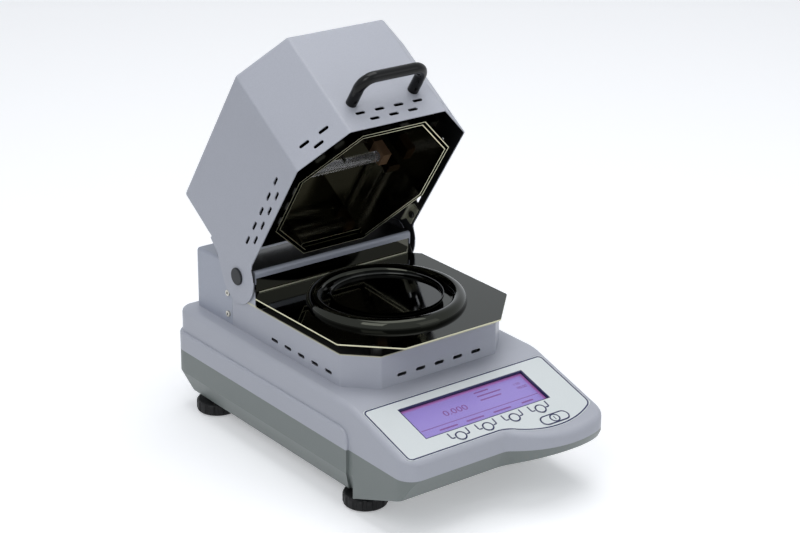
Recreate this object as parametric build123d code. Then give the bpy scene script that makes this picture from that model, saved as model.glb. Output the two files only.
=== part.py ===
from build123d import *
import os
from math import acos, atan2, cos, degrees, hypot, radians, sin, sqrt, tan

# Moisture analyzer: a balance console with a heated chamber whose octagonal hood stands open.
# Millimetres. The origin is on the bench under the middle of the footprint, on the pan's axis.
# +X is the operator's right, +Y runs from the operator to the back, +Z is up.

# Console housing, seen from above
HOUSING_HALF_WIDTH = 102.4
HOUSING_BACK = 182.4
HOUSING_FRONT = -164.0
NOSE_SIDE = 42.4
NOSE_X = HOUSING_HALF_WIDTH - NOSE_SIDE
NOSE_Y = -95.0
NOSE_RADIUS = 90.0
BACK_CORNER = 12.0
LEFT_CORNER = 16.0
RIGHT_CORNER = 18.0
NOSE_KINK = 14.0
HOUSING_WALL = 3.0

# Console housing, seen from the side
FLOOR_Z = 15.0
SEAM_Z = 58.0
DECK_Z = 99.0
PANEL_TOP_Y = -82.0
PANEL_ANGLE = 16.3
CREASE_RADIUS = 50.0
EDGE_RADIUS = 5.5
BAND_PROUD = 2.6
BAND_TOP_Z = 76.0
BAND_FRONT_Y = -84.0
BAND_EDGE_RADIUS = 2.0
BAND_END_RADIUS = 12.0
BEVEL_HEIGHT = 21.5
BEVEL_INSET = 10.75
UNDERSIDE_BREAK_Y = -90.0
UNDERSIDE_ANGLE = 20.9

# Housing screws
POST_INSETS = [(18.4, -135.0), (14.4, -10.0), (16.4, 88.0)]
POST_PLACES = [(side * (HOUSING_HALF_WIDTH - inset), y) for inset, y in POST_INSETS for side in (-1, 1)]
POST_RADIUS = 5.5
SCREW_RADIUS = 2.0
SCREW_HEAD_RADIUS = 3.8
SCREW_HEAD_HEIGHT = 2.6
SCREW_SHELF_Z = 46.0
SCREW_REACH = 24.0
SCREW_CLEARANCE = 0.1
SCREW_HEAD_CLEARANCE = 0.3
SCREW_BOSS_RADIUS = 7.0

# Levelling feet
FOOT_INSET = 20.9
FOOT_X = HOUSING_HALF_WIDTH - FOOT_INSET
FOOT_FRONT_Y = -79.5
FOOT_REAR_Y = 150.0
KNOB_RADIUS = 19.5
KNOB_HEIGHT = 12.0
KNOB_LOBES = 14
KNOB_SCALLOP_RADIUS = 2.6
KNOB_EDGE_RADIUS = 2.5
FOOT_PAD_RADIUS = 13.0
FOOT_PAD_HEIGHT = 1.0
STUD_RADIUS = 4.0
STUD_TOP_Z = 36.0
STUD_SET_IN = 7.0
STUD_HEADROOM = 2.0
FOOT_BOSS_RADIUS = 9.0
FOOT_BOSS_TOP_Z = 40.0
INSERT_RADIUS = 6.0
INSERT_HEIGHT = 16.0
RUNNING_CLEARANCE = 0.06

# Keypad overlay and display, measured down the sloping panel from its top edge
OVERLAY_SIDE = 5.4
OVERLAY_HALF_WIDTH = HOUSING_HALF_WIDTH - OVERLAY_SIDE
OVERLAY_TOP = 12.7
OVERLAY_BOTTOM = 81.3
OVERLAY_NOSE_OFFSET = 8.0
OVERLAY_NOSE_X = NOSE_X - OVERLAY_NOSE_OFFSET
OVERLAY_NOSE_DOWN = 14.0
OVERLAY_NOSE_RADIUS = 82.4
OVERLAY_CORNER = 4.5
OVERLAY_KINK = 10.0
OVERLAY_THICK = 0.8
OVERLAY_GAP = 0.15
SCREEN_WIDTH = 133.0
SCREEN_HEIGHT = 39.4
SCREEN_TOP = 23.6
LENS_MARGIN = 2.2
LENS_THICK = 1.2
LCD_THICK = 5.0
DISPLAY_BOARD = (150.0, 57.0)
DISPLAY_BOSS_X = 72.3
DISPLAY_BOSS_INSET = 4.0
BOARD_BOSS_RADIUS = 2.2
BOARD_THICK = 1.6

# Keys
SOFT_KEY_COUNT = 4
SOFT_KEY_FIRST_X = -36.9
SOFT_KEY_PITCH = 28.7
SOFT_KEY_DOWN = 72.2
SOFT_KEY_RADIUS = 5.2
OVAL_KEY_OFFSET = 1.0
OVAL_KEY_X = OVERLAY_NOSE_X + OVAL_KEY_OFFSET
OVAL_KEY_DOWN = 86.8
OVAL_KEY_LENGTH = 30.0
OVAL_KEY_WIDTH = 11.4
KEY_PROUD = 0.3
KEY_TRAVEL = 0.5
KEY_GAP = 0.2
KEY_STEM_RADIUS = 2.5
KEY_STEM_LENGTH = 1.2
KEY_FLANGE = 1.3
KEY_FLANGE_THICK = 0.8
KEY_FLANGE_GAP = 0.2
KEY_EDGE_RADIUS = 0.25
KEY_SWITCH_SIZE = 6.0
KEY_SWITCH_HEIGHT = 1.2
KEY_SWITCH_GAP = 0.05
KEYPAD_BOARD_MARGIN = 9.0
KEYPAD_BOARD_GAP = 0.5

# Chamber skirt of folded sheet
SHEET = 1.0
SKIRT_HALF_WIDTH = 87.1
SKIRT_FRONT = -75.0
SKIRT_FRONT_HALF = 62.0
SKIRT_CORNER_Y = -50.0
SKIRT_TOP_Z = 128.7
SKIRT_FRONT_DIP = 2.5
SKIRT_FRONT_DIP_RUN = 11.0
SKIRT_BEND = 3.0
SEAM_Y = 113.0
SEAM_GAP = 0.3
SKIRT_FLANGE = 6.0
EAR_RADIUS = 15.0
EAR_FRONT_Y = 75.5
EAR_FRONT_Z = 141.0

# Punched slots, the same tool everywhere
SLOT_LENGTH = 10.0
SLOT_WIDTH = 3.2
SLOT_PITCH = 20.0
SKIRT_SLOT_Z = 107.2
SKIRT_SLOT_COUNT = 5
SKIRT_SIDE_SLOT_Y = -34.0

# Chamber plate, the insulation under it and their spacers
PLATE_OVERHANG = 4.8
PLATE_HALF_WIDTH = SKIRT_HALF_WIDTH + PLATE_OVERHANG
PLATE_FRONT = -94.0
PLATE_FRONT_HALF = 51.5
PLATE_CORNER_Y = -53.8
PLATE_BACK = 77.8
PLATE_BACK_CHAMFER = 9.8
PLATE_TOP_Z = 140.6
PLATE_THICK = 1.2
PLATE_HOLE_RADIUS = 14.0
SPACER_X = 58.0
SPACER_FRONT_Y = -63.0
SPACER_REAR_Y = 60.0
SPACER_RADIUS = 5.0
INSULATION_Z = 122.0
INSULATION_THICK = 1.5
INSULATION_GAP = 0.5
STEM_PASSAGE_RADIUS = 10.0

# Draft ring, pan and weighing parts
RING_RADIUS = 70.5
RING_BORE_RADIUS = 56.5
RING_HEIGHT = 8.0
RING_WALL = 0.8
PAN_RADIUS = 50.0
PAN_BASE_Z = 143.6
PAN_DEPTH = 4.4
PAN_WALL = 0.6
PAN_BEND = 2.5
CARRIER_ARMS = 3
CARRIER_RADIUS = 44.0
CARRIER_ARM_WIDTH = 7.0
CARRIER_THICK = 1.0
CARRIER_HUB_RADIUS = 9.0
STEM_RADIUS = 4.0
CELL_LENGTH = 120.0
CELL_WIDTH = 30.0
CELL_HEIGHT = 22.0
CELL_TOP_Z = 70.0
CELL_FREE_END_Y = -14.0
CELL_SLOT_RADIUS = 6.5
CELL_SLOT_SPACING = 26.0
CELL_SLOT_NARROW = 4.0
STEM_FOOT_RADIUS = 8.0
STEM_FOOT_HEIGHT = 3.0
PEDESTAL_LENGTH = 30.0

# Rear cover
COVER_BACK = 171.5
COVER_BACK_Z = 155.7
COVER_FRONT_Z = 160.8
COVER_LIP_Y = 77.6
COVER_LIP_DROP = 6.3
COVER_TONGUE_FLANGE = 12.0
COVER_TONGUE_GAP = 0.6
COVER_BEND = 3.0
COVER_FLANGE = 8.0
COVER_SCREW_Y = 118.8
COVER_SCREW_Z = (108.0, 128.2)
COVER_SCREW_RADIUS = 1.5
COVER_SCREW_HEAD_RADIUS = 2.8
COVER_SCREW_HEAD_HEIGHT = 1.6
COVER_TAB = (104.0, 126.0)
COVER_TAB_Z = (102.0, 134.0)
COVER_VENT_ROWS = 3
COVER_VENT_COLUMNS = 5
COVER_VENT_Z = 118.0
COVER_VENT_ROW_PITCH = 9.0
REAR_WALL_BOTTOM_Z = 124.0
REAR_WALL_GAP = 0.4
CABLE_HOLE_Y = 130.0
CABLE_HOLE_RADIUS = 8.0

# Hood of folded sheet, drawn closed and then swung open about its hinge
HINGE_Y = 99.8
HINGE_Z = 150.7
OPEN_ANGLE = 56.4
HOOD_SIDE_GAP = 2.5
HOOD_HALF_WIDTH = SKIRT_HALF_WIDTH + HOOD_SIDE_GAP
HOOD_FRONT = -94.7
HOOD_FRONT_HALF = 50.3
HOOD_CORNER_Y = -55.2
HOOD_BACK = 104.0
HOOD_RIM_Z = 141.2
HOOD_ROOF_Z = 251.4
HOOD_BEND = 4.0
HOOD_BACK_BOTTOM_Z = 199.0
LOBE_RADIUS = 25.0
LOBE_SHOULDER = (107.2, 184.0)
LOBE_NECK_RADIUS = 8.0
HOOD_SLOT_RISE = 8.5
HOOD_SLOT_ROW_PITCH = 8.2
HOOD_SIDE_SLOT_Y = -23.3
HOOD_SIDE_SLOT_COUNT = 5
HOOD_FRONT_SLOT_COUNT = 4
HOOD_CORNER_SLOT_COUNT = 2

# Hinge pins, bushes and caps
PIN_RADIUS = 4.0
PIN_CAP_RADIUS = 8.0
PIN_CAP_HEIGHT = 1.6
PIN_HEAD_LENGTH = 6.0
PIN_HEAD_RADIUS = 6.0
PIN_HEAD_CLEARANCE = 1.0
BUSH_RADIUS = 6.0
BUSH_FLANGE_RADIUS = 9.0
BUSH_FLANGE = 1.2
CAP_GAP = 0.3

# Heat shield and reflector inside the hood
SHIELD_CENTRE_Y = -4.4
SHIELD_SIDE_GAP = 8.6
SHIELD_WIDTH = 2 * (HOOD_HALF_WIDTH - SHEET - SHIELD_SIDE_GAP)
SHIELD_TOP_Z = 214.0
LINER_SIDE_GAP = 3.5
LINER_TOP_GAP = 12.0
REFLECTOR_WIDTH = SHIELD_WIDTH - 2 * LINER_SIDE_GAP
REFLECTOR_TOP_Z = SHIELD_TOP_Z - LINER_TOP_GAP
LINER_SHEET = 0.8
LINER_RIM_Z = 141.5
REFLECTOR_BACK_RISE = 8.0
REFLECTOR_BACK_CUT = (-33.0, 43.0)
STANDOFF_RADIUS = 3.0
STANDOFF_X = 45.0
STANDOFF_Y = 52.0
BRACKET_Y = (-30.0, 22.0)
BRACKET_Z = 172.0
BRACKET_LENGTH = 12.0
BRACKET_HEIGHT = 8.0
BRACKET_THICK = 1.2
STAY_Y = (55.7, 75.7)
STAY_Z = (143.0, 151.5)
STAY_DEPTH = 7.0
STAY_SCREW_RADIUS = 3.0
STAY_SCREW_HEIGHT = 1.8

# Halogen lamps and probe
LAMP_SPACING = 56.0
LAMP_RADIUS = 5.0
LAMP_LENGTH = 112.0
LAMP_CAP_RADIUS = 3.6
LAMP_CAP_LENGTH = 5.0
LAMP_DROP = 12.0
LAMP_Z = REFLECTOR_TOP_Z - LAMP_DROP
HOLDER_LENGTH = 9.0
HOLDER_WIDTH = 14.0
HOLDER_BELOW = 6.0
HOLDER_GAP = 1.5
PROBE_RADIUS = 1.5
PROBE_LENGTH = 28.0
PROBE_NUT_RADIUS = 5.0
PROBE_NUT_HEIGHT = 4.0

# Handle
HANDLE_HALF_SPAN = 32.5
HANDLE_Z = 169.2
HANDLE_REACH = 30.3
HANDLE_RADIUS = 5.0
HANDLE_BEND = 12.0
HANDLE_SCREW_RADIUS = 2.0
HANDLE_SCREW_DEPTH = 14.0
HANDLE_SCREW_HEAD_RADIUS = 3.6
HANDLE_SCREW_HEAD_HEIGHT = 2.2

# Back panel of the console
BACK_RECESS = (-60.0, 90.0)
BACK_RECESS_Z = (61.0, 90.0)
BACK_RECESS_CORNER = 3.0
BACK_RECESS_DEPTH = 7.0
PANEL_GAP = 0.2
INLET_X = 58.0
SOCKET_Z = 75.5
INLET_FLANGE = (48.0, 24.0, 2.0)
INLET_BODY = (30.0, 20.0, 26.0)
INLET_CAVITY = (24.0, 15.0, 17.0)
INLET_PIN = (2.0, 4.0, 9.0)
INLET_PIN_SPACING = 7.0
INLET_CORNER = 3.0
SWITCH_X = 14.0
SWITCH_FRAME = (20.0, 24.0, 2.0)
SWITCH_BODY = (17.6, 21.6, 14.0)
ROCKER_WIDTH = 12.0
ROCKER_HALF_HEIGHT = 8.0
ROCKER_FACE = 6.6
ROCKER_DISH = 1.2
ROCKER_BACK = 1.5
ROCKER_SET_IN = 6.0
ROCKER_ROOM = 1.3
ROCKER_TILT = 7.0
ROCKER_PIN_RADIUS = 1.5
ROCKER_PIN_LENGTH = 1.2
DATA_X = -30.0
DATA_FLANGE = (31.0, 12.5, 1.2)
DATA_SHELL = (17.0, 8.4, 5.0)
DATA_BODY = (19.0, 11.0, 12.0)
DATA_SHELL_SLANT = 1.5
DATA_SHELL_RIM = 0.7
DATA_POST_RADIUS = 2.8
DATA_POST_LENGTH = 5.0
DATA_POST_X = 12.3

# Boards and power parts inside the console
MAIN_BOARD = (136.0, 58.0)
MAIN_BOARD_Y = -51.0
MAIN_BOARD_Z = 40.0
BOARD_POST_RADIUS = 3.5
BOARD_POST_INSET = 6.0
TRANSFORMER_PLACE = (-50.0, 118.0)
TRANSFORMER_RADIUS = 28.0
TRANSFORMER_EDGE = 8.0
TRANSFORMER_BORE = 12.0
TRANSFORMER_HEIGHT = 30.0
TRANSFORMER_BOLT_RADIUS = 2.5
TRANSFORMER_WASHER_RADIUS = 17.0
TRANSFORMER_WASHER = 1.5
POWER_BOARD = (50.0, 66.0)
POWER_BOARD_PLACE = (48.0, 106.0)
POWER_BOARD_Z = 26.0
HEATSINK = (10.0, 50.0, 22.0)
CAPACITOR_RADIUS = 8.0
CAPACITOR_HEIGHT = 20.0
CHIP = (18.0, 18.0, 2.5)
SOCKET_STRIP = (30.0, 6.0, 8.0)

FAR = 400.0
PANEL = Plane(
    origin=(0, PANEL_TOP_Y, DECK_Z),
    x_dir=(1, 0, 0),
    z_dir=(0, -sin(radians(PANEL_ANGLE)), cos(radians(PANEL_ANGLE))),
)
HINGE_AXIS = Axis((0, HINGE_Y, HINGE_Z), (1, 0, 0))


# Helpers


def upright(x, y, low, high, radius):
    """Round bar standing between two heights."""
    return Pos(x, y, (low + high) / 2) * Cylinder(radius, high - low)


def block(x_range, y_range, z_range):
    """Box between the given limits."""
    size = [high - low for low, high in (x_range, y_range, z_range)]
    centre = [(high + low) / 2 for low, high in (x_range, y_range, z_range)]
    return Pos(*centre) * Box(*size)


def crosswise(inner, outer, y, z, radius):
    """Round bar along X, from one X to another."""
    return Pos((inner + outer) / 2, y, z) * Rot(0, 90, 0) * Cylinder(radius, abs(outer - inner))


def both_sides(shape):
    """The shape and its mirror image across the middle plane."""
    return shape + mirror(shape, about=Plane.YZ)


def pair(shape):
    """The shape and its mirror image, as two separate solids."""
    return Compound(children=[shape, mirror(shape, about=Plane.YZ)])


def group(shapes):
    """Separate solids kept together in one node."""
    return Compound(children=[solid for shape in shapes for solid in shape.solids()])


def nearest_vertex(sketch, x, y):
    return min(sketch.vertices(), key=lambda corner: hypot(corner.X - x, corner.Y - y))


def nosed_outline(half_width, back, front, nose, radii, inset=0.0):
    """Rectangle whose front swells into a round nose on the right, drawn inset by a wall."""
    nose_x, nose_y, nose_radius = nose
    back_corner, left_corner, right_corner, kink = radii
    half = half_width - inset
    reach = nose_radius - inset
    rear = back - inset
    fore = front + inset
    slab = Pos(0, (rear + fore) / 2) * Rectangle(2 * half, rear - fore)
    disc = Pos(nose_x, nose_y) * Circle(reach)
    window = Pos((nose_x - reach + half) / 2, nose_y - reach / 2) * Rectangle(half - nose_x + reach, reach)
    outline = slab + (disc & window)
    kink_x = nose_x - sqrt(reach**2 - (nose_y - fore) ** 2)
    right_y = nose_y - sqrt(reach**2 - (half - nose_x) ** 2)
    corners = [
        (-half, rear, back_corner - inset),
        (half, rear, back_corner - inset),
        (-half, fore, left_corner - inset),
        (kink_x, fore, kink + inset),
        (half, right_y, right_corner - inset),
    ]
    for x, y, radius in corners:
        outline = fillet(nearest_vertex(outline, x, y), radius)
    return outline


def housing_outline(inset=0.0):
    nose = (NOSE_X, NOSE_Y, NOSE_RADIUS)
    radii = (BACK_CORNER, LEFT_CORNER, RIGHT_CORNER, NOSE_KINK)
    return nosed_outline(HOUSING_HALF_WIDTH, HOUSING_BACK, HOUSING_FRONT, nose, radii, inset)


def rear_outline(inset=0.0):
    """Console outline behind the band's front end, where the housing is wider by the band."""
    wide = housing_outline(inset - BAND_PROUD)
    behind = Pos(0, BAND_FRONT_Y + FAR / 2) * Rectangle(2 * FAR, FAR)
    return wide & behind


def stadium_row(count, pitch, length, width):
    """Row of punched slots along local X, centred."""
    first = -(count - 1) * pitch / 2
    return [Pos(first + index * pitch, 0) * SlotOverall(length, width) for index in range(count)]


# Console housing


def upper_form(inset):
    """Deck, sloping panel and walls of the upper housing as a solid, inset by a wall."""
    height = DECK_Z - inset - SEAM_Z
    form = extrude(Pos(0, 0, SEAM_Z) * housing_outline(inset), height)
    form -= PANEL.offset(-inset) * Pos(0, 0, FAR / 2) * Box(FAR, 2 * FAR, FAR)
    across = form.edges().filter_by(Axis.X).sort_by(lambda edge: abs(edge.center().Y - PANEL_TOP_Y))
    form = fillet(across[0], CREASE_RADIUS)
    low = SEAM_Z + EDGE_RADIUS / 2
    rims = [edge for edge in form.edges() if edge.bounding_box().min.Z > low]
    crease_reach = CREASE_RADIUS / 2
    edges = []
    for edge in rims:
        on_crease = abs(edge.center().Y - PANEL_TOP_Y) < crease_reach and edge.bounding_box().size.Y < 1
        if not on_crease:
            edges.append(edge)
    return fillet(edges, EDGE_RADIUS - inset)


def band():
    """Raised band round the sides and back, just above the seam."""
    strip = extrude(Pos(0, 0, SEAM_Z) * rear_outline(), BAND_TOP_Z - SEAM_Z)
    side = block((-FAR, FAR), (BAND_FRONT_Y, FAR), (SEAM_Z, BAND_TOP_Z))
    corner = side.edges().filter_by(Axis.X).sort_by(lambda edge: edge.center().Y - edge.center().Z)[0]
    strip &= fillet(corner, BAND_END_RADIUS)
    core = extrude(Pos(0, 0, SEAM_Z) * housing_outline(HOUSING_WALL), BAND_TOP_Z - SEAM_Z)
    top_edges = strip.faces().sort_by(Axis.Z)[-1].edges()
    outer = [edge for edge in top_edges if edge.bounding_box().max.Y > BAND_FRONT_Y + BAND_END_RADIUS + 1]
    return fillet(outer, BAND_EDGE_RADIUS) - core


def lower_form(inset):
    """Tray of the lower housing as a solid: straight walls, bevelled rim, underside rising forward."""
    floor = FLOOR_Z + inset
    bevel_z = floor + BEVEL_HEIGHT
    taper = degrees(atan2(BEVEL_INSET, BEVEL_HEIGHT))
    plan = housing_outline(inset) + rear_outline(inset)
    rear = extrude(Pos(0, 0, bevel_z) * plan, -BEVEL_HEIGHT, taper=taper)
    rear += extrude(Pos(0, 0, bevel_z) * plan, SEAM_Z - bevel_z)
    rear &= block((-FAR, FAR), (UNDERSIDE_BREAK_Y, FAR), (0, FAR))
    front = extrude(Pos(0, 0, floor) * housing_outline(inset), SEAM_Z - floor)
    front &= block((-FAR, FAR), (-FAR, UNDERSIDE_BREAK_Y), (0, FAR))
    front &= extrude(Pos(0, 0, SEAM_Z) * bow_outline(inset), floor - SEAM_Z, taper=taper)
    rise = Plane(
        origin=(0, UNDERSIDE_BREAK_Y, floor),
        x_dir=(1, 0, 0),
        z_dir=(0, sin(radians(UNDERSIDE_ANGLE)), cos(radians(UNDERSIDE_ANGLE))),
    )
    front -= rise * Pos(0, 0, -FAR / 2) * Box(2 * FAR, 2 * FAR, FAR)
    return rear + (front - side_bevels(inset))


def bow_outline(inset):
    """Front curve of the console, carried on far past both sides and the back."""
    fore = HOUSING_FRONT + inset
    reach = NOSE_RADIUS - inset
    slab = Pos(0, fore + FAR) * Rectangle(2 * FAR, 2 * FAR)
    outline = slab + Pos(NOSE_X, NOSE_Y) * Circle(reach)
    kink_reach = sqrt(reach**2 - (NOSE_Y - fore) ** 2)
    kinks = [nearest_vertex(outline, NOSE_X + side * kink_reach, fore) for side in (-1, 1)]
    return fillet(kinks, NOSE_KINK + inset)


def side_bevels(inset):
    """Cutters for the bevels that follow the rising underside along both front sides."""
    half = HOUSING_HALF_WIDTH - inset
    floor = FLOOR_Z + inset
    corner = [
        (half, floor + BEVEL_HEIGHT),
        (half + BEVEL_INSET, floor + BEVEL_HEIGHT),
        (half + BEVEL_INSET, floor),
        (half - BEVEL_INSET, floor),
    ]
    section = Pos(0, UNDERSIDE_BREAK_Y, 0) * Plane.XZ * make_face(Polyline(*corner, close=True))
    slope = (0, -cos(radians(UNDERSIDE_ANGLE)), sin(radians(UNDERSIDE_ANGLE)))
    return both_sides(extrude(section, HOUSING_HALF_WIDTH, dir=slope))


def panel_slab(x, down, size, depth, thick):
    """Flat rectangle lying parallel to the sloping panel, its top at the given depth."""
    return PANEL * Pos(x, -down, -(depth + thick / 2)) * Box(*size, thick)


def panel_bar(x, down, top, bottom, radius):
    """Round bar square to the sloping panel, between two depths."""
    return PANEL * Pos(x, -down, -(top + bottom) / 2) * Cylinder(radius, bottom - top)


def overlay_outline(inset=0.0):
    nose = (OVERLAY_NOSE_X, -OVERLAY_NOSE_DOWN, OVERLAY_NOSE_RADIUS)
    radii = (OVERLAY_CORNER, OVERLAY_CORNER, OVERLAY_CORNER, OVERLAY_KINK)
    return nosed_outline(OVERLAY_HALF_WIDTH, -OVERLAY_TOP, -OVERLAY_BOTTOM, nose, radii, inset)


SOFT_KEY_X = [SOFT_KEY_FIRST_X + SOFT_KEY_PITCH * index for index in range(SOFT_KEY_COUNT)]
SCREEN_MIDDLE = SCREEN_TOP + SCREEN_HEIGHT / 2
LENS_SIZE = (SCREEN_WIDTH + 2 * LENS_MARGIN, SCREEN_HEIGHT + 2 * LENS_MARGIN)
LCD_DEPTH = HOUSING_WALL + LENS_THICK
DISPLAY_BOARD_DEPTH = LCD_DEPTH + LCD_THICK
KEY_FLANGE_DEPTH = HOUSING_WALL + KEY_FLANGE_GAP
KEY_END_DEPTH = KEY_FLANGE_DEPTH + KEY_FLANGE_THICK + KEY_STEM_LENGTH
SWITCH_TOP_DEPTH = KEY_END_DEPTH + KEY_TRAVEL + KEY_SWITCH_GAP
KEYPAD_BOARD_DEPTH = SWITCH_TOP_DEPTH + KEY_SWITCH_HEIGHT
KEYPAD_BOSS_X = [(SOFT_KEY_X[0] + SOFT_KEY_X[1]) / 2, (SOFT_KEY_X[-2] + SOFT_KEY_X[-1]) / 2]
BACK_WALL_Y = HOUSING_BACK + BAND_PROUD - BACK_RECESS_DEPTH
TRAY_FLOOR_Z = FLOOR_Z + HOUSING_WALL
FEET = {
    "front_left": (-FOOT_X, FOOT_FRONT_Y),
    "front_right": (FOOT_X, FOOT_FRONT_Y),
    "rear_left": (-FOOT_X, FOOT_REAR_Y),
    "rear_right": (FOOT_X, FOOT_REAR_Y),
}


def key_plans(grow):
    """Plans of all the keys on the panel, grown by a gap."""
    round_keys = [Pos(x, -SOFT_KEY_DOWN) * Circle(SOFT_KEY_RADIUS + grow) for x in SOFT_KEY_X]
    return round_keys + [Pos(OVAL_KEY_X, -OVAL_KEY_DOWN) * oval_plan(grow)]


def oval_plan(grow):
    return SlotOverall(OVAL_KEY_LENGTH + 2 * grow, OVAL_KEY_WIDTH + 2 * grow)


def panel_openings(depth):
    """Cutters through the panel for the screen and the keys."""
    screen = Pos(0, -SCREEN_MIDDLE) * Rectangle(SCREEN_WIDTH, SCREEN_HEIGHT)
    return [extrude(PANEL * plan, depth, both=True) for plan in [screen] + key_plans(KEY_GAP)]


def rear_slab(x, width, height, fore, aft):
    """Block on the connector panel, from one Y to another."""
    across = (x - width / 2, x + width / 2)
    return block(across, (fore, aft), (SOCKET_Z - height / 2, SOCKET_Z + height / 2))


def upper_housing():
    outer = upper_form(0)
    shell = outer - upper_form(HOUSING_WALL) + band()
    left, right = BACK_RECESS
    low, high = BACK_RECESS_Z
    lining = block(
        (left - HOUSING_WALL, right + HOUSING_WALL),
        (BACK_WALL_Y - HOUSING_WALL, HOUSING_BACK),
        (low - HOUSING_WALL, high + HOUSING_WALL),
    )
    shell += lining & outer
    recess = block(BACK_RECESS, (BACK_WALL_Y, FAR), BACK_RECESS_Z)
    shell -= fillet(recess.edges().filter_by(Axis.Y), BACK_RECESS_CORNER)
    for x, width, height in (
        (INLET_X, *INLET_BODY[:2]),
        (SWITCH_X, *SWITCH_BODY[:2]),
        (DATA_X, *DATA_BODY[:2]),
    ):
        shell -= rear_slab(x, width + 2 * PANEL_GAP, height + 2 * PANEL_GAP, 0, FAR)
    for x, y in POST_PLACES:
        shell += upright(x, y, SEAM_Z, DECK_Z, POST_RADIUS) & outer
    for x in (-DISPLAY_BOSS_X, DISPLAY_BOSS_X):
        for down in display_boss_rows():
            shell += panel_bar(x, down, HOUSING_WALL / 2, DISPLAY_BOARD_DEPTH, BOARD_BOSS_RADIUS)
    for x in KEYPAD_BOSS_X:
        shell += panel_bar(x, SOFT_KEY_DOWN, HOUSING_WALL / 2, KEYPAD_BOARD_DEPTH, BOARD_BOSS_RADIUS)
    shell -= PANEL * extrude(overlay_outline(-OVERLAY_GAP), -OVERLAY_THICK)
    for opening in panel_openings(HOUSING_WALL):
        shell -= opening
    for x, y in POST_PLACES:
        shell -= upright(x, y, 0, SCREW_SHELF_Z + SCREW_REACH, SCREW_RADIUS + SCREW_CLEARANCE)
    shell -= upright(0, 0, SEAM_Z, FAR, STEM_PASSAGE_RADIUS)
    return shell - upright(0, CABLE_HOLE_Y, SEAM_Z, FAR, CABLE_HOLE_RADIUS)


def display_boss_rows():
    half = DISPLAY_BOARD[1] / 2 - DISPLAY_BOSS_INSET
    return (SCREEN_MIDDLE - half, SCREEN_MIDDLE + half)


def board_corners(board, place):
    """Mounting points near the four corners of a board."""
    half_x = board[0] / 2 - BOARD_POST_INSET
    half_y = board[1] / 2 - BOARD_POST_INSET
    return [(place[0] + sx * half_x, place[1] + sy * half_y) for sx in (-1, 1) for sy in (-1, 1)]


def lower_housing():
    outer = lower_form(0)
    tray = outer - lower_form(HOUSING_WALL)
    for x, y in POST_PLACES:
        tray += upright(x, y, FLOOR_Z, SEAM_Z, SCREW_BOSS_RADIUS) & outer
    for x, y in FEET.values():
        tray += upright(x, y, FLOOR_Z, FOOT_BOSS_TOP_Z, FOOT_BOSS_RADIUS)
    for x, y in board_corners(MAIN_BOARD, (0, MAIN_BOARD_Y)):
        tray += upright(x, y, FLOOR_Z, MAIN_BOARD_Z, BOARD_POST_RADIUS)
    for x, y in board_corners(POWER_BOARD, POWER_BOARD_PLACE):
        tray += upright(x, y, FLOOR_Z, POWER_BOARD_Z, BOARD_POST_RADIUS)
    for x, y in POST_PLACES:
        tray -= upright(x, y, 0, FAR, SCREW_RADIUS + SCREW_CLEARANCE)
        tray -= upright(x, y, 0, SCREW_SHELF_Z, SCREW_HEAD_RADIUS + SCREW_HEAD_CLEARANCE)
    for x, y in FEET.values():
        tray -= upright(x, y, 0, FLOOR_Z + INSERT_HEIGHT, INSERT_RADIUS)
        tray -= upright(x, y, 0, STUD_TOP_Z + STUD_HEADROOM, STUD_RADIUS + SCREW_CLEARANCE)
    return tray


def housing_screws():
    shelf = SCREW_SHELF_Z
    screws = []
    for x, y in POST_PLACES:
        shank = upright(x, y, shelf, shelf + SCREW_REACH - SCREW_CLEARANCE, SCREW_RADIUS)
        screws.append(shank + upright(x, y, shelf - SCREW_HEAD_HEIGHT, shelf, SCREW_HEAD_RADIUS))
    return group(screws)


# Display and keys


def keypad_overlay():
    sheet = PANEL * extrude(overlay_outline(), -OVERLAY_THICK)
    for opening in panel_openings(HOUSING_WALL):
        sheet -= opening
    return sheet


def display_lens():
    return panel_slab(0, SCREEN_MIDDLE, LENS_SIZE, HOUSING_WALL, LENS_THICK)


def lcd_module():
    return panel_slab(0, SCREEN_MIDDLE, LENS_SIZE, LCD_DEPTH, LCD_THICK)


def display_board():
    return panel_slab(0, SCREEN_MIDDLE, DISPLAY_BOARD, DISPLAY_BOARD_DEPTH, BOARD_THICK)


def keypad_board():
    """Board under the keys, with a tab towards the oval key and one switch per key."""
    top = SCREEN_MIDDLE + LENS_SIZE[1] / 2 + KEYPAD_BOARD_GAP
    middle = SOFT_KEY_DOWN + KEYPAD_BOARD_MARGIN - SOFT_KEY_RADIUS / 2
    low = OVAL_KEY_DOWN + KEYPAD_BOARD_MARGIN - KEY_SWITCH_SIZE / 2
    left = SOFT_KEY_FIRST_X - KEYPAD_BOARD_MARGIN
    tab_half = OVAL_KEY_LENGTH / 2
    right = OVAL_KEY_X + tab_half
    plan = Pos((left + right) / 2, -(top + middle) / 2) * Rectangle(right - left, middle - top)
    plan += Pos(OVAL_KEY_X, -(top + low) / 2) * Rectangle(2 * tab_half, low - top)
    board = extrude(PANEL.offset(-KEYPAD_BOARD_DEPTH) * plan, -BOARD_THICK)
    switch = (KEY_SWITCH_SIZE, KEY_SWITCH_SIZE)
    for x in SOFT_KEY_X:
        board += panel_slab(x, SOFT_KEY_DOWN, switch, SWITCH_TOP_DEPTH, KEY_SWITCH_HEIGHT)
    return board + panel_slab(OVAL_KEY_X, OVAL_KEY_DOWN, switch, SWITCH_TOP_DEPTH, KEY_SWITCH_HEIGHT)


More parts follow.
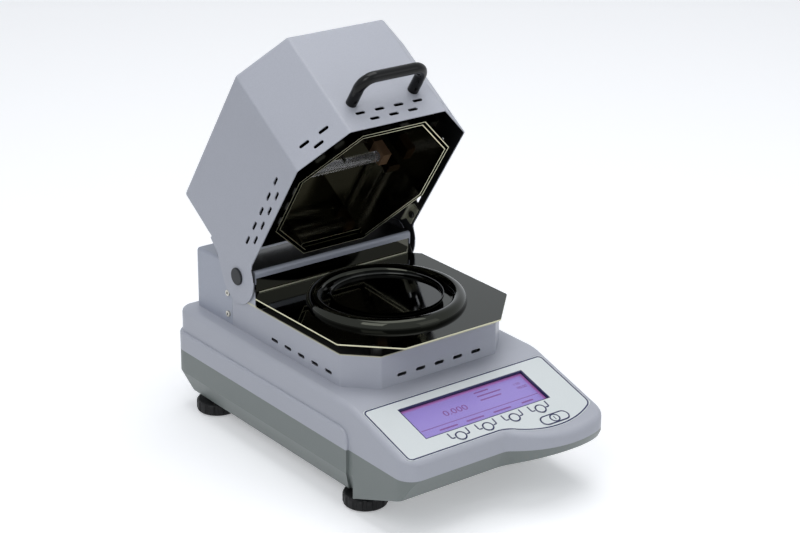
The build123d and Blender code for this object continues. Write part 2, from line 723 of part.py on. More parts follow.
def key(x, down, plan, flange_plan):
    """Key cap with the flange that holds it under the panel and the stem over its switch."""
    place = PANEL * Pos(x, -down)
    cap = extrude(place * plan, KEY_PROUD) + extrude(place * plan, -KEY_FLANGE_DEPTH)
    outward = PANEL.z_dir
    top = max(cap.faces(), key=lambda face: face.center().dot(outward))
    cap = fillet(top.edges(), KEY_EDGE_RADIUS)
    cap += extrude(place * Pos(0, 0, -KEY_FLANGE_DEPTH) * flange_plan, -KEY_FLANGE_THICK)
    stem_top = KEY_FLANGE_DEPTH + KEY_FLANGE_THICK / 2
    return cap + panel_bar(x, down, stem_top, KEY_END_DEPTH, KEY_STEM_RADIUS)


def soft_key(index):
    flange = Circle(SOFT_KEY_RADIUS + KEY_FLANGE)
    return key(SOFT_KEY_X[index], SOFT_KEY_DOWN, Circle(SOFT_KEY_RADIUS), flange)


def menu_key():
    return key(OVAL_KEY_X, OVAL_KEY_DOWN, oval_plan(0), oval_plan(KEY_FLANGE))


# Levelling feet


def foot_knob(x, y):
    """Fluted knob with its pad underneath."""
    knob = upright(x, y, FOOT_PAD_HEIGHT, KNOB_HEIGHT, KNOB_RADIUS)
    rims = knob.edges().filter_by(GeomType.CIRCLE)
    knob = fillet(rims, KNOB_EDGE_RADIUS)
    for flute in PolarLocations(KNOB_RADIUS + KNOB_SCALLOP_RADIUS / 2, KNOB_LOBES):
        knob -= Pos(x, y, 0) * flute * Cylinder(KNOB_SCALLOP_RADIUS, FAR)
    knob -= upright(x, y, KNOB_HEIGHT - STUD_SET_IN, FAR, STUD_RADIUS + SCREW_CLEARANCE)
    return group([knob, upright(x, y, 0, FOOT_PAD_HEIGHT, FOOT_PAD_RADIUS)])


def foot_stud(x, y):
    return upright(x, y, KNOB_HEIGHT - STUD_SET_IN, STUD_TOP_Z, STUD_RADIUS)


def foot_inserts():
    bore = STUD_RADIUS + RUNNING_CLEARANCE
    high = FLOOR_Z + INSERT_HEIGHT
    return group(
        upright(x, y, FLOOR_Z, high, INSERT_RADIUS) - upright(x, y, 0, FAR, bore) for x, y in FEET.values()
    )


# Weighing parts and sample chamber


def load_cell():
    """Parallel-guided bar, its free end under the pan."""
    back = CELL_FREE_END_Y + CELL_LENGTH
    middle = (back + CELL_FREE_END_Y) / 2
    low = CELL_TOP_Z - CELL_HEIGHT
    half = CELL_WIDTH / 2
    bar = block((-half, half), (CELL_FREE_END_Y, back), (low, CELL_TOP_Z))
    axis_z = CELL_TOP_Z - CELL_HEIGHT / 2
    for offset in (-CELL_SLOT_SPACING / 2, CELL_SLOT_SPACING / 2):
        bar -= crosswise(-FAR, FAR, middle + offset, axis_z, CELL_SLOT_RADIUS)
    return bar - Pos(0, middle, axis_z) * Box(FAR, CELL_SLOT_SPACING, CELL_SLOT_NARROW)


def cell_pedestal():
    back = CELL_FREE_END_Y + CELL_LENGTH
    half = CELL_WIDTH / 2
    return block((-half, half), (back - PEDESTAL_LENGTH, back), (TRAY_FLOOR_Z, CELL_TOP_Z - CELL_HEIGHT))


def weigh_stem():
    foot = upright(0, 0, CELL_TOP_Z, CELL_TOP_Z + STEM_FOOT_HEIGHT, STEM_FOOT_RADIUS)
    return foot + upright(0, 0, CELL_TOP_Z, PAN_BASE_Z - CARRIER_THICK, STEM_RADIUS)


def pan_carrier():
    low = PAN_BASE_Z - CARRIER_THICK
    star = upright(0, 0, low, PAN_BASE_Z, CARRIER_HUB_RADIUS)
    for turn in PolarLocations(0, CARRIER_ARMS):
        arm = block((0, CARRIER_RADIUS), (-CARRIER_ARM_WIDTH / 2, CARRIER_ARM_WIDTH / 2), (low, PAN_BASE_Z))
        star += turn * arm
    return star


def sample_pan():
    """Shallow pressed dish."""
    outer = upright(0, 0, PAN_BASE_Z, PAN_BASE_Z + PAN_DEPTH, PAN_RADIUS)
    outer = fillet(outer.faces().sort_by(Axis.Z)[0].edges(), PAN_BEND)
    inner = upright(0, 0, PAN_BASE_Z + PAN_WALL, FAR, PAN_RADIUS - PAN_WALL)
    return outer - fillet(inner.faces().sort_by(Axis.Z)[0].edges(), PAN_BEND - PAN_WALL)


def draft_ring():
    """Rolled ring, half round and open underneath, standing on the plate round the pan."""
    half = (RING_RADIUS - RING_BORE_RADIUS) / 2
    arch = Ellipse(half, RING_HEIGHT) - Ellipse(half - RING_WALL, RING_HEIGHT - RING_WALL)
    arch &= Pos(0, RING_HEIGHT / 2) * Rectangle(2 * half, RING_HEIGHT)
    return revolve(Plane.XZ * Pos(RING_RADIUS - half, PLATE_TOP_Z) * arch, Axis.Z)


def folded_outline(shape, bend, inset=0.0, fold_back=False):
    """Box with two chamfered front corners, drawn inset by a wall, its folds rounded."""
    half_width, back, front, front_half, corner_y = shape
    points = [
        (-half_width, back),
        (-half_width, corner_y),
        (-front_half, front),
        (front_half, front),
        (half_width, corner_y),
        (half_width, back),
    ]
    outline = make_face(Polyline(*points, close=True))
    if inset:
        outline = offset(outline, -inset, kind=Kind.INTERSECTION)
    folds = [corner for corner in outline.vertices() if fold_back or corner.Y < 0]
    return fillet(folds, bend - inset)


def skirt_outline(inset, back):
    shape = (SKIRT_HALF_WIDTH, back, SKIRT_FRONT, SKIRT_FRONT_HALF, SKIRT_CORNER_Y)
    return folded_outline(shape, SKIRT_BEND, inset)


def punched_row(plane, count):
    """Cutter for a row of slots through a sheet lying in the given plane."""
    slots = Sketch() + stadium_row(count, SLOT_PITCH, SLOT_LENGTH, SLOT_WIDTH)
    return extrude(plane * slots, 2 * SHEET, both=True)


def front_plane(y, z):
    """Plane of a front wall, seen from the front."""
    return Plane(origin=(0, y, z), x_dir=(1, 0, 0), z_dir=(0, -1, 0))


def side_plane(x, y, z):
    """Plane of a side wall, seen from the right."""
    return Plane(origin=(x, y, z), x_dir=(0, 1, 0), z_dir=(1, 0, 0))


def tangent_point(point, centre, radius, side):
    """Where the line from a point touches a circle, on the given side."""
    dx = point[0] - centre[0]
    dy = point[1] - centre[1]
    turn = atan2(dy, dx) + side * acos(radius / hypot(dx, dy))
    return (centre[0] + radius * cos(turn), centre[1] + radius * sin(turn))


SKIRT_BACK = SEAM_Y - SEAM_GAP / 2
COVER_FORE = SEAM_Y + SEAM_GAP / 2
HINGE = (HINGE_Y, HINGE_Z)


def ear():
    """Upright ear at the back of one skirt side, which carries the hinge pin."""
    shoulder = (EAR_FRONT_Y, EAR_FRONT_Z)
    points = [
        (EAR_FRONT_Y, DECK_Z + SHEET),
        shoulder,
        tangent_point(shoulder, HINGE, EAR_RADIUS, -1),
        HINGE,
        (HINGE_Y + EAR_RADIUS, HINGE_Z),
        (HINGE_Y + EAR_RADIUS, DECK_Z + SHEET),
    ]
    outline = make_face(Polyline(*points, close=True)) + Pos(*HINGE) * Circle(EAR_RADIUS)
    outline &= Pos(SKIRT_BACK - FAR / 2, HINGE_Z) * Rectangle(FAR, FAR)
    return extrude(side_plane(SKIRT_HALF_WIDTH - SHEET, 0, 0) * outline, SHEET)


def chamber_skirt():
    """Sheet wall round the chamber with its bottom flange, punched slots, ears and screw tabs."""
    skirt = extrude(Pos(0, 0, DECK_Z) * skirt_outline(0, SKIRT_BACK), SKIRT_TOP_Z - DECK_Z)
    skirt -= extrude(Pos(0, 0, DECK_Z + SHEET) * skirt_outline(SHEET, FAR), FAR)
    skirt -= extrude(Pos(0, 0, DECK_Z) * folded_flange(), FAR)
    dip = [
        (-SKIRT_FRONT_HALF, SKIRT_TOP_Z),
        (SKIRT_FRONT_DIP_RUN - SKIRT_FRONT_HALF, SKIRT_TOP_Z - SKIRT_FRONT_DIP),
        (SKIRT_FRONT_HALF - SKIRT_FRONT_DIP_RUN, SKIRT_TOP_Z - SKIRT_FRONT_DIP),
        (SKIRT_FRONT_HALF, SKIRT_TOP_Z),
    ]
    dip_face = Pos(0, SKIRT_FRONT, 0) * Plane.XZ * make_face(Polyline(*dip, close=True))
    skirt -= extrude(dip_face, 2 * SHEET, both=True)
    skirt += both_sides(ear())
    inside = SKIRT_HALF_WIDTH - SHEET
    tab = block((inside - SHEET, inside), COVER_TAB, COVER_TAB_Z)
    skirt += both_sides(tab)
    skirt -= punched_row(front_plane(SKIRT_FRONT, SKIRT_SLOT_Z), SKIRT_SLOT_COUNT)
    row_y = SKIRT_SIDE_SLOT_Y + (SKIRT_SLOT_COUNT - 1) * SLOT_PITCH / 2
    skirt -= both_sides(punched_row(side_plane(SKIRT_HALF_WIDTH, row_y, SKIRT_SLOT_Z), SKIRT_SLOT_COUNT))
    skirt -= crosswise(-FAR, FAR, *HINGE, PIN_RADIUS + SCREW_CLEARANCE)
    return skirt - cover_screw_bars(COVER_SCREW_RADIUS + SCREW_CLEARANCE)


def folded_flange():
    """Opening inside the skirt's bottom flange."""
    half = SKIRT_HALF_WIDTH - SKIRT_FLANGE
    fore = SKIRT_FRONT + SKIRT_FLANGE
    corner = (SKIRT_HALF_WIDTH - SKIRT_FRONT_HALF) * SKIRT_FLANGE / SKIRT_HALF_WIDTH
    front_half = SKIRT_FRONT_HALF - corner
    corner_y = SKIRT_CORNER_Y + corner
    points = [
        (-half, FAR),
        (-half, corner_y),
        (-front_half, fore),
        (front_half, fore),
        (half, corner_y),
        (half, FAR),
    ]
    return make_face(Polyline(*points, close=True))


def cover_screw_bars(radius):
    """Round bars on the four cover screws' axes, right through both sides."""
    return [crosswise(-FAR, FAR, COVER_SCREW_Y, z, radius) for z in COVER_SCREW_Z]


def cover_top(y):
    """Height of the rear cover's sloping top."""
    slope = (COVER_BACK_Z - COVER_FRONT_Z) / (COVER_BACK - COVER_LIP_Y)
    return COVER_FRONT_Z + slope * (y - COVER_LIP_Y)


def cover_form(half, fore, aft, low, drop=0.0):
    """Prism across the console under the cover's sloping top."""
    points = [(fore, low), (fore, cover_top(fore) - drop), (aft, cover_top(aft) - drop), (aft, low)]
    return extrude(Plane.YZ * make_face(Polyline(*points, close=True)), half, both=True)


def bent(form, fore, low, radius):
    """Rounds every fold of a prism, apart from its open front and bottom rims."""
    folds = []
    for edge in form.edges():
        centre = edge.center()
        if centre.Y > fore + radius and centre.Z > low + radius:
            folds.append(edge)
    return fillet(folds, radius)


def lip_folded(form, radius):
    """Rounds the fold along the top of a prism's front face."""
    fold = form.faces().sort_by(Axis.Y)[0].edges().sort_by(Axis.Z)[-1]
    return fillet(fold, radius)


def rear_cover():
    """Folded cover behind the chamber, whose top reaches forward between the ears to a lip."""
    half = SKIRT_HALF_WIDTH
    cover = bent(cover_form(half, COVER_FORE, COVER_BACK, DECK_Z), COVER_FORE, DECK_Z, COVER_BEND)
    inner = cover_form(half - SHEET, HINGE_Y, COVER_BACK - SHEET, DECK_Z + SHEET, SHEET)
    cover -= bent(inner, HINGE_Y, DECK_Z + SHEET, COVER_BEND - SHEET)
    cover -= cover_form(half - COVER_FLANGE, HINGE_Y, COVER_BACK - COVER_FLANGE, 0, 2 * COVER_BEND)
    tongue_half = half - SHEET - COVER_TONGUE_GAP
    low = COVER_FRONT_Z - COVER_TONGUE_FLANGE
    joined = COVER_FORE + SHEET
    tongue = lip_folded(cover_form(tongue_half, COVER_LIP_Y, joined, low), COVER_BEND)
    inner = cover_form(tongue_half - SHEET, COVER_LIP_Y + SHEET, joined, low, SHEET)
    tongue -= lip_folded(inner, COVER_BEND - SHEET)
    lip_low = COVER_FRONT_Z - COVER_LIP_DROP
    tongue -= block((SHEET - tongue_half, tongue_half - SHEET), (0, COVER_LIP_Y + SHEET), (low, lip_low))
    tongue -= crosswise(-FAR, FAR, *HINGE, PIN_HEAD_RADIUS + PIN_HEAD_CLEARANCE)
    cover += tongue
    for row in range(COVER_VENT_ROWS):
        z = COVER_VENT_Z + row * COVER_VENT_ROW_PITCH
        cover -= punched_row(front_plane(COVER_BACK, z), COVER_VENT_COLUMNS)
    return cover - cover_screw_bars(COVER_SCREW_RADIUS + SCREW_CLEARANCE)


def rear_cover_screws():
    inner = SKIRT_HALF_WIDTH - 2 * SHEET
    outer = SKIRT_HALF_WIDTH
    screws = []
    for z in COVER_SCREW_Z:
        shank = crosswise(inner, outer, COVER_SCREW_Y, z, COVER_SCREW_RADIUS)
        head = crosswise(outer, outer + COVER_SCREW_HEAD_HEIGHT, COVER_SCREW_Y, z, COVER_SCREW_HEAD_RADIUS)
        screws.append(pair(shank + head))
    return group(screws)


def rear_wall_panel():
    """Polished sheet behind the chamber, hung on the back of the cover's lip."""
    half = SKIRT_HALF_WIDTH - 2 * SHEET - COVER_TONGUE_GAP - REAR_WALL_GAP
    fore = COVER_LIP_Y + SHEET
    high = cover_top(fore + SHEET) - COVER_BEND - REAR_WALL_GAP
    return block((-half, half), (fore, fore + SHEET), (REAR_WALL_BOTTOM_Z, high))


SPACER_PLACES = [(x, y) for x in (-SPACER_X, SPACER_X) for y in (SPACER_FRONT_Y, SPACER_REAR_Y)]


def spacers(low, high):
    return group(upright(x, y, low, high, SPACER_RADIUS) for x, y in SPACER_PLACES)


def insulation_plate():
    back = COVER_LIP_Y + SHEET - INSULATION_GAP
    outline = skirt_outline(SHEET + INSULATION_GAP, back + SHEET + INSULATION_GAP)
    plate = extrude(Pos(0, 0, INSULATION_Z) * outline, INSULATION_THICK)
    return plate - upright(0, 0, 0, FAR, STEM_PASSAGE_RADIUS)


def chamber_plate():
    shape = (PLATE_HALF_WIDTH, PLATE_BACK, PLATE_FRONT, PLATE_FRONT_HALF, PLATE_CORNER_Y)
    outline = folded_outline(shape, SKIRT_BEND)
    rear = [corner for corner in outline.vertices() if corner.Y > PLATE_BACK - SHEET]
    outline = chamfer(rear, PLATE_BACK_CHAMFER)
    plate = extrude(Pos(0, 0, PLATE_TOP_Z - PLATE_THICK) * outline, PLATE_THICK)
    return plate - upright(0, 0, 0, FAR, PLATE_HOLE_RADIUS)


# Hood, drawn closed


def swung(shape):
    """Swings a piece of the hood from closed to open."""
    return shape.rotate(HINGE_AXIS, -OPEN_ANGLE)


def hood_form(inset):
    shape = (HOOD_HALF_WIDTH, HOOD_BACK, HOOD_FRONT, HOOD_FRONT_HALF, HOOD_CORNER_Y)
    outline = folded_outline(shape, HOOD_BEND, inset, fold_back=True)
    form = extrude(Pos(0, 0, HOOD_RIM_Z) * outline, HOOD_ROOF_Z - inset - HOOD_RIM_Z)
    return fillet(form.faces().sort_by(Axis.Z)[-1].edges(), HOOD_BEND - inset)


def hood_side():
    """Flat rear half of one side plate, with the lobe that hangs round the hinge."""
    fore = HINGE_Y - 2 * LOBE_RADIUS
    upper = Pos((fore + HOOD_BACK) / 2, (HOOD_RIM_Z + HOOD_BACK_BOTTOM_Z) / 2)
    outline = upper * Rectangle(HOOD_BACK - fore, HOOD_BACK_BOTTOM_Z - HOOD_RIM_Z)
    points = [
        HINGE,
        tangent_point(LOBE_SHOULDER, HINGE, LOBE_RADIUS, -1),
        LOBE_SHOULDER,
        (HOOD_BACK, HOOD_BACK_BOTTOM_Z),
        (HINGE_Y, HOOD_BACK_BOTTOM_Z),
    ]
    outline += make_face(Polyline(*points, close=True))
    outline += Pos(*HINGE) * Circle(LOBE_RADIUS)
    neck_y = HINGE_Y - sqrt(LOBE_RADIUS**2 - (HINGE_Z - HOOD_RIM_Z) ** 2)
    outline = fillet(nearest_vertex(outline, neck_y, HOOD_RIM_Z), LOBE_NECK_RADIUS)
    return extrude(side_plane(HOOD_HALF_WIDTH - SHEET, 0, 0) * outline, SHEET)


def hood_slots():
    """Two staggered rows of slots above the rim on the front, the chamfers and the sides."""
    lower = HOOD_RIM_Z + HOOD_SLOT_RISE
    upper = lower + HOOD_SLOT_ROW_PITCH
    side_y = HOOD_SIDE_SLOT_Y + (HOOD_SIDE_SLOT_COUNT - 1) * SLOT_PITCH / 2
    slant_x = HOOD_CORNER_Y - HOOD_FRONT
    slant_y = HOOD_FRONT_HALF - HOOD_HALF_WIDTH
    corner_x = (HOOD_HALF_WIDTH + HOOD_FRONT_HALF) / 2
    corner_y = (HOOD_CORNER_Y + HOOD_FRONT) / 2
    cutters = []
    for z, fewer in ((upper, 0), (lower, 1)):
        front = front_plane(HOOD_FRONT, z)
        place = (corner_x, corner_y, z)
        corner = Plane(origin=place, x_dir=(-slant_y, slant_x, 0), z_dir=(slant_x, slant_y, 0))
        cutters.append(punched_row(front, HOOD_FRONT_SLOT_COUNT - fewer))
        cutters.append(both_sides(punched_row(corner, HOOD_CORNER_SLOT_COUNT - fewer)))
        side = side_plane(HOOD_HALF_WIDTH, side_y, z)
        cutters.append(both_sides(punched_row(side, HOOD_SIDE_SLOT_COUNT - fewer)))
    return cutters


def hood_shell():
    shell = hood_form(0) - hood_form(SHEET)
    shell -= block((-FAR, FAR), (HOOD_BACK - HOOD_BEND - SHEET, FAR), (0, HOOD_BACK_BOTTOM_Z))
    shell += both_sides(hood_side())
    for cutter in hood_slots():
        shell -= cutter
    shell -= crosswise(-FAR, FAR, *HINGE, BUSH_RADIUS)
    hole = HANDLE_SCREW_RADIUS + SCREW_CLEARANCE
    for x in (-HANDLE_HALF_SPAN, HANDLE_HALF_SPAN):
        shell -= forward_bar(x, HOOD_FRONT - SHEET, HOOD_FRONT + 2 * SHEET, hole)
    return swung(shell)


def forward_bar(x, fore, aft, radius):
    """Round bar along Y at the handle's height."""
    return Pos(x, (fore + aft) / 2, HANDLE_Z) * Rot(90, 0, 0) * Cylinder(radius, abs(aft - fore))


def liner(width, top_z):
    """Octagonal sheet box, open at the bottom, for the heat shield or the reflector."""
    height = top_z - LINER_RIM_Z
    place = Pos(0, SHIELD_CENTRE_Y, LINER_RIM_Z)
    outer = place * extrude(octagon(width), height)
    return outer - place * extrude(octagon(width - 2 * LINER_SHEET), height - LINER_SHEET)


def octagon(width):
    """Regular octagon across flats, a flat on each of the four sides."""
    sides = 8
    across_corners = width / 2 / cos(radians(180 / sides))
    return Rot(0, 0, 180 / sides) * RegularPolygon(across_corners, sides)


def heat_shield():
    shield = liner(SHIELD_WIDTH, SHIELD_TOP_Z)
    low = SHIELD_TOP_Z - 2 * LINER_SHEET
    return swung(shield - upright(0, SHIELD_CENTRE_Y, low, FAR, PROBE_NUT_RADIUS))


def reflector():
    mirror_box = liner(REFLECTOR_WIDTH, REFLECTOR_TOP_Z)
    back = SHIELD_CENTRE_Y + REFLECTOR_WIDTH / 2
    left, right = REFLECTOR_BACK_CUT
    notch = block((left, right), (back - 2 * LINER_SHEET, FAR), (0, LINER_RIM_Z + REFLECTOR_BACK_RISE))
    low = REFLECTOR_TOP_Z - 2 * LINER_SHEET
    hole = upright(0, SHIELD_CENTRE_Y, low, FAR, PROBE_RADIUS + SCREW_CLEARANCE)
    return swung(mirror_box - notch - hole)


def liner_standoffs():
    low = REFLECTOR_TOP_Z
    high = SHIELD_TOP_Z - LINER_SHEET
    posts = []
    for x in (-STANDOFF_X, STANDOFF_X):
        for offset_y in (-STANDOFF_Y, STANDOFF_Y):
            posts.append(upright(x, SHIELD_CENTRE_Y + offset_y, low, high, STANDOFF_RADIUS))
    return swung(group(posts))


def shield_brackets():
    """Angles that hang the heat shield between the hood's side plates."""
    inner = SHIELD_WIDTH / 2
    outer = HOOD_HALF_WIDTH - SHEET
    high = BRACKET_Z + BRACKET_HEIGHT
    solids = []
    for y in BRACKET_Y:
        run = (y - BRACKET_LENGTH / 2, y + BRACKET_LENGTH / 2)
        bracket = block((inner, inner + BRACKET_THICK), run, (BRACKET_Z, high))
        bracket += block((outer - BRACKET_THICK, outer), run, (BRACKET_Z, high))
        solids.append(pair(bracket + block((inner, outer), run, (BRACKET_Z, BRACKET_Z + BRACKET_THICK))))
    return swung(group(solids))


def side_stays():
    """Small angle inside each side plate, in front of the hinge, with its screw."""
    outer = HOOD_HALF_WIDTH - SHEET
    low, high = STAY_Z
    stay = block((outer - BRACKET_THICK, outer), STAY_Y, STAY_Z)
    stay += block((outer - STAY_DEPTH, outer), STAY_Y, (high - BRACKET_THICK, high))
    middle = sum(STAY_Y) / 2
    face = outer - BRACKET_THICK
    screw_z = (low + high - BRACKET_THICK) / 2
    return swung(pair(stay + crosswise(face - STAY_SCREW_HEIGHT, face, middle, screw_z, STAY_SCREW_RADIUS)))


def lamp_rows():
    return (SHIELD_CENTRE_Y - LAMP_SPACING / 2, SHIELD_CENTRE_Y + LAMP_SPACING / 2)


def lamps():
    """Two tube lamps with their end caps."""
    half = LAMP_LENGTH / 2
    tip = half + LAMP_CAP_LENGTH
    tubes = []
    for y in lamp_rows():
        tube = crosswise(-half, half, y, LAMP_Z, LAMP_RADIUS)
        tubes.append(tube + crosswise(-tip, tip, y, LAMP_Z, LAMP_CAP_RADIUS))
    return swung(group(tubes))


def lamp_holders():
    """Ceramic blocks under the reflector's top, one at each lamp end."""
    inner = LAMP_LENGTH / 2 + HOLDER_GAP
    high = REFLECTOR_TOP_Z - LINER_SHEET
    holders = []
    for y in lamp_rows():
        run = (y - HOLDER_WIDTH / 2, y + HOLDER_WIDTH / 2)
        holder = block((inner, inner + HOLDER_LENGTH), run, (LAMP_Z - HOLDER_BELOW, high))
        depth = LAMP_LENGTH / 2 + LAMP_CAP_LENGTH + SCREW_CLEARANCE
        holders.append(pair(holder - crosswise(0, depth, y, LAMP_Z, LAMP_CAP_RADIUS + SCREW_CLEARANCE)))
    return swung(group(holders))


def temperature_probe():
    low = REFLECTOR_TOP_Z - PROBE_LENGTH
    high = REFLECTOR_TOP_Z + PROBE_NUT_HEIGHT
    rod = upright(0, SHIELD_CENTRE_Y, low, high, PROBE_RADIUS)
    nut = extrude(RegularPolygon(PROBE_NUT_RADIUS, 6), PROBE_NUT_HEIGHT)
    return swung(rod + Pos(0, SHIELD_CENTRE_Y, REFLECTOR_TOP_Z) * nut)


def handle():
    """Round bar bent to a U in front of the hood."""
    reach = HOOD_FRONT - HANDLE_REACH
    corners = [
        (-HANDLE_HALF_SPAN, HOOD_FRONT, HANDLE_Z),
        (-HANDLE_HALF_SPAN, reach, HANDLE_Z),
        (HANDLE_HALF_SPAN, reach, HANDLE_Z),
        (HANDLE_HALF_SPAN, HOOD_FRONT, HANDLE_Z),
    ]
    route = FilletPolyline(*corners, radius=HANDLE_BEND)
    start = Plane(origin=corners[0], z_dir=(0, -1, 0))
    bar = sweep(start * Circle(HANDLE_RADIUS), route)
    hole = HANDLE_SCREW_RADIUS + SCREW_CLEARANCE
    for x in (-HANDLE_HALF_SPAN, HANDLE_HALF_SPAN):
        bar -= forward_bar(x, HOOD_FRONT - HANDLE_SCREW_DEPTH, HOOD_FRONT, hole)
    return swung(bar)


def handle_screws():
    inside = HOOD_FRONT + SHEET
    tip = HOOD_FRONT - HANDLE_SCREW_DEPTH + SHEET
    shank = forward_bar(HANDLE_HALF_SPAN, tip, inside, HANDLE_SCREW_RADIUS)
    top = inside + HANDLE_SCREW_HEAD_HEIGHT
    head = forward_bar(HANDLE_HALF_SPAN, inside, top, HANDLE_SCREW_HEAD_RADIUS)
    return swung(pair(shank + head))


# Hinge


def hinge_bushes():
    """Flanged bushes in the hood's lobes, running on the pins."""
    outer = HOOD_HALF_WIDTH
    inner = outer - SHEET
    bush = crosswise(inner, outer, *HINGE, BUSH_RADIUS)
    bush += crosswise(inner - BUSH_FLANGE, inner, *HINGE, BUSH_FLANGE_RADIUS)
    return swung(pair(bush - crosswise(0, FAR, *HINGE, PIN_RADIUS + RUNNING_CLEARANCE)))


def hinge_pins():
    inside = SKIRT_HALF_WIDTH - SHEET
    pin = crosswise(inside, HOOD_HALF_WIDTH + CAP_GAP, *HINGE, PIN_RADIUS)
    return pair(pin + crosswise(inside - PIN_HEAD_LENGTH, inside, *HINGE, PIN_HEAD_RADIUS))


def hinge_caps():
    face = HOOD_HALF_WIDTH + CAP_GAP
    cap = crosswise(face, face + PIN_CAP_HEIGHT, *HINGE, PIN_CAP_RADIUS)
    rim = cap.edges().filter_by(GeomType.CIRCLE).sort_by(Axis.X)[-1]
    return pair(fillet(rim, PIN_CAP_HEIGHT / 2))


# Connector panel at the back


def power_inlet():
    width, height, thick = INLET_FLANGE
    front = BACK_WALL_Y + thick
    socket = rear_slab(INLET_X, width, height, BACK_WALL_Y, front)
    socket = fillet(socket.edges().filter_by(Axis.Y), INLET_CORNER)
    width, height, depth = INLET_BODY
    socket += rear_slab(INLET_X, width, height, BACK_WALL_Y - depth, BACK_WALL_Y)
    width, height, depth = INLET_CAVITY
    cavity = rear_slab(INLET_X, width, height, front - depth, front)
    socket -= chamfer(cavity.edges().filter_by(Axis.Y).group_by(Axis.Z)[-1], INLET_CORNER)
    width, height, length = INLET_PIN
    for offset_x in (-INLET_PIN_SPACING, 0, INLET_PIN_SPACING):
        socket += rear_slab(INLET_X + offset_x, width, height, front - depth, front - depth + length)
    return socket


ROCKER_AXIS_Y = BACK_WALL_Y + SWITCH_FRAME[2] - ROCKER_SET_IN


def switch_frame():
    width, height, thick = SWITCH_FRAME
    frame = rear_slab(SWITCH_X, width, height, BACK_WALL_Y, BACK_WALL_Y + thick)
    width, height, depth = SWITCH_BODY
    frame += rear_slab(SWITCH_X, width, height, BACK_WALL_Y - depth, BACK_WALL_Y)
    room = ROCKER_WIDTH + 2 * KEY_GAP
    floor_y = ROCKER_AXIS_Y - ROCKER_BACK - ROCKER_ROOM
    frame -= rear_slab(SWITCH_X, room, 2 * (ROCKER_HALF_HEIGHT + ROCKER_ROOM), floor_y, FAR)
    reach = ROCKER_WIDTH / 2 + ROCKER_PIN_LENGTH + KEY_GAP
    hole = ROCKER_PIN_RADIUS + RUNNING_CLEARANCE
    return frame - crosswise(SWITCH_X - reach, SWITCH_X + reach, ROCKER_AXIS_Y, SOCKET_Z, hole)


def power_rocker():
    """Dished rocker on two stub pins, drawn with its lower end pressed in."""
    points = [
        (-ROCKER_BACK, -ROCKER_HALF_HEIGHT),
        (-ROCKER_BACK, ROCKER_HALF_HEIGHT),
        (ROCKER_FACE, ROCKER_HALF_HEIGHT),
        (ROCKER_FACE - ROCKER_DISH, 0),
        (ROCKER_FACE, -ROCKER_HALF_HEIGHT),
    ]
    profile = side_plane(SWITCH_X, ROCKER_AXIS_Y, SOCKET_Z) * make_face(Polyline(*points, close=True))
    rocker = extrude(profile, ROCKER_WIDTH / 2, both=True)
    reach = ROCKER_WIDTH / 2 + ROCKER_PIN_LENGTH
    rocker += crosswise(SWITCH_X - reach, SWITCH_X + reach, ROCKER_AXIS_Y, SOCKET_Z, ROCKER_PIN_RADIUS)
    return rocker.rotate(Axis((SWITCH_X, ROCKER_AXIS_Y, SOCKET_Z), (1, 0, 0)), -ROCKER_TILT)


def data_shell(width, height, fore, aft):
    """D-shaped bar along Y, wider at the top."""
    top = width / 2
    foot = top - DATA_SHELL_SLANT
    points = [(-foot, -height / 2), (-top, height / 2), (top, height / 2), (foot, -height / 2)]
    place = Plane(origin=(DATA_X, aft, SOCKET_Z), x_dir=(1, 0, 0), z_dir=(0, -1, 0))
    outline = make_face(Polyline(*points, close=True))
    return extrude(place * fillet(outline.vertices(), DATA_SHELL_SLANT), aft - fore)


def data_connector():
    width, height, thick = DATA_FLANGE
    front = BACK_WALL_Y + thick
    connector = rear_slab(DATA_X, width, height, BACK_WALL_Y, front)
    width, height, depth = DATA_BODY
    connector += rear_slab(DATA_X, width, height, BACK_WALL_Y - depth, BACK_WALL_Y)
    width, height, length = DATA_SHELL
    tip = front + length - DATA_SHELL_RIM
    connector += data_shell(width, height, front, front + length)
    connector -= data_shell(width - 2 * DATA_SHELL_RIM, height - 2 * DATA_SHELL_RIM, tip, front + length)
    hexagon = RegularPolygon(DATA_POST_RADIUS, 6)
    for x in (DATA_X - DATA_POST_X, DATA_X + DATA_POST_X):
        place = Plane(origin=(x, front, SOCKET_Z), x_dir=(1, 0, 0), z_dir=(0, 1, 0))
        connector += extrude(place * hexagon, DATA_POST_LENGTH)
    return connector


# Boards and power parts inside


def board(size, place, z):
    """Circuit board lying on its posts."""
    return Pos(*place, z + BOARD_THICK / 2) * Box(*size, BOARD_THICK)


def on_board(place, z, size):
    """Block standing on a board."""
    return Pos(*place, z + BOARD_THICK + size[2] / 2) * Box(*size)


def main_board():
    """Controller board with its main chip and the socket for the display cable."""
    plate = board(MAIN_BOARD, (0, MAIN_BOARD_Y), MAIN_BOARD_Z)
    plate += on_board((MAIN_BOARD[0] / 4, MAIN_BOARD_Y), MAIN_BOARD_Z, CHIP)
    front = MAIN_BOARD_Y - MAIN_BOARD[1] / 2 + SOCKET_STRIP[1]
    return plate + on_board((-MAIN_BOARD[0] / 4, front), MAIN_BOARD_Z, SOCKET_STRIP)


def power_board():
    """Lamp driver board with its heat sink and two capacitors."""
    x, y = POWER_BOARD_PLACE
    plate = board(POWER_BOARD, POWER_BOARD_PLACE, POWER_BOARD_Z)
    plate += on_board((x - POWER_BOARD[0] / 4, y), POWER_BOARD_Z, HEATSINK)
    base = POWER_BOARD_Z + BOARD_THICK
    column_x = x + POWER_BOARD[0] / 5
    for column_y in (y - POWER_BOARD[1] / 6, y + POWER_BOARD[1] / 6):
        plate += upright(column_x, column_y, base, base + CAPACITOR_HEIGHT, CAPACITOR_RADIUS)
    return plate


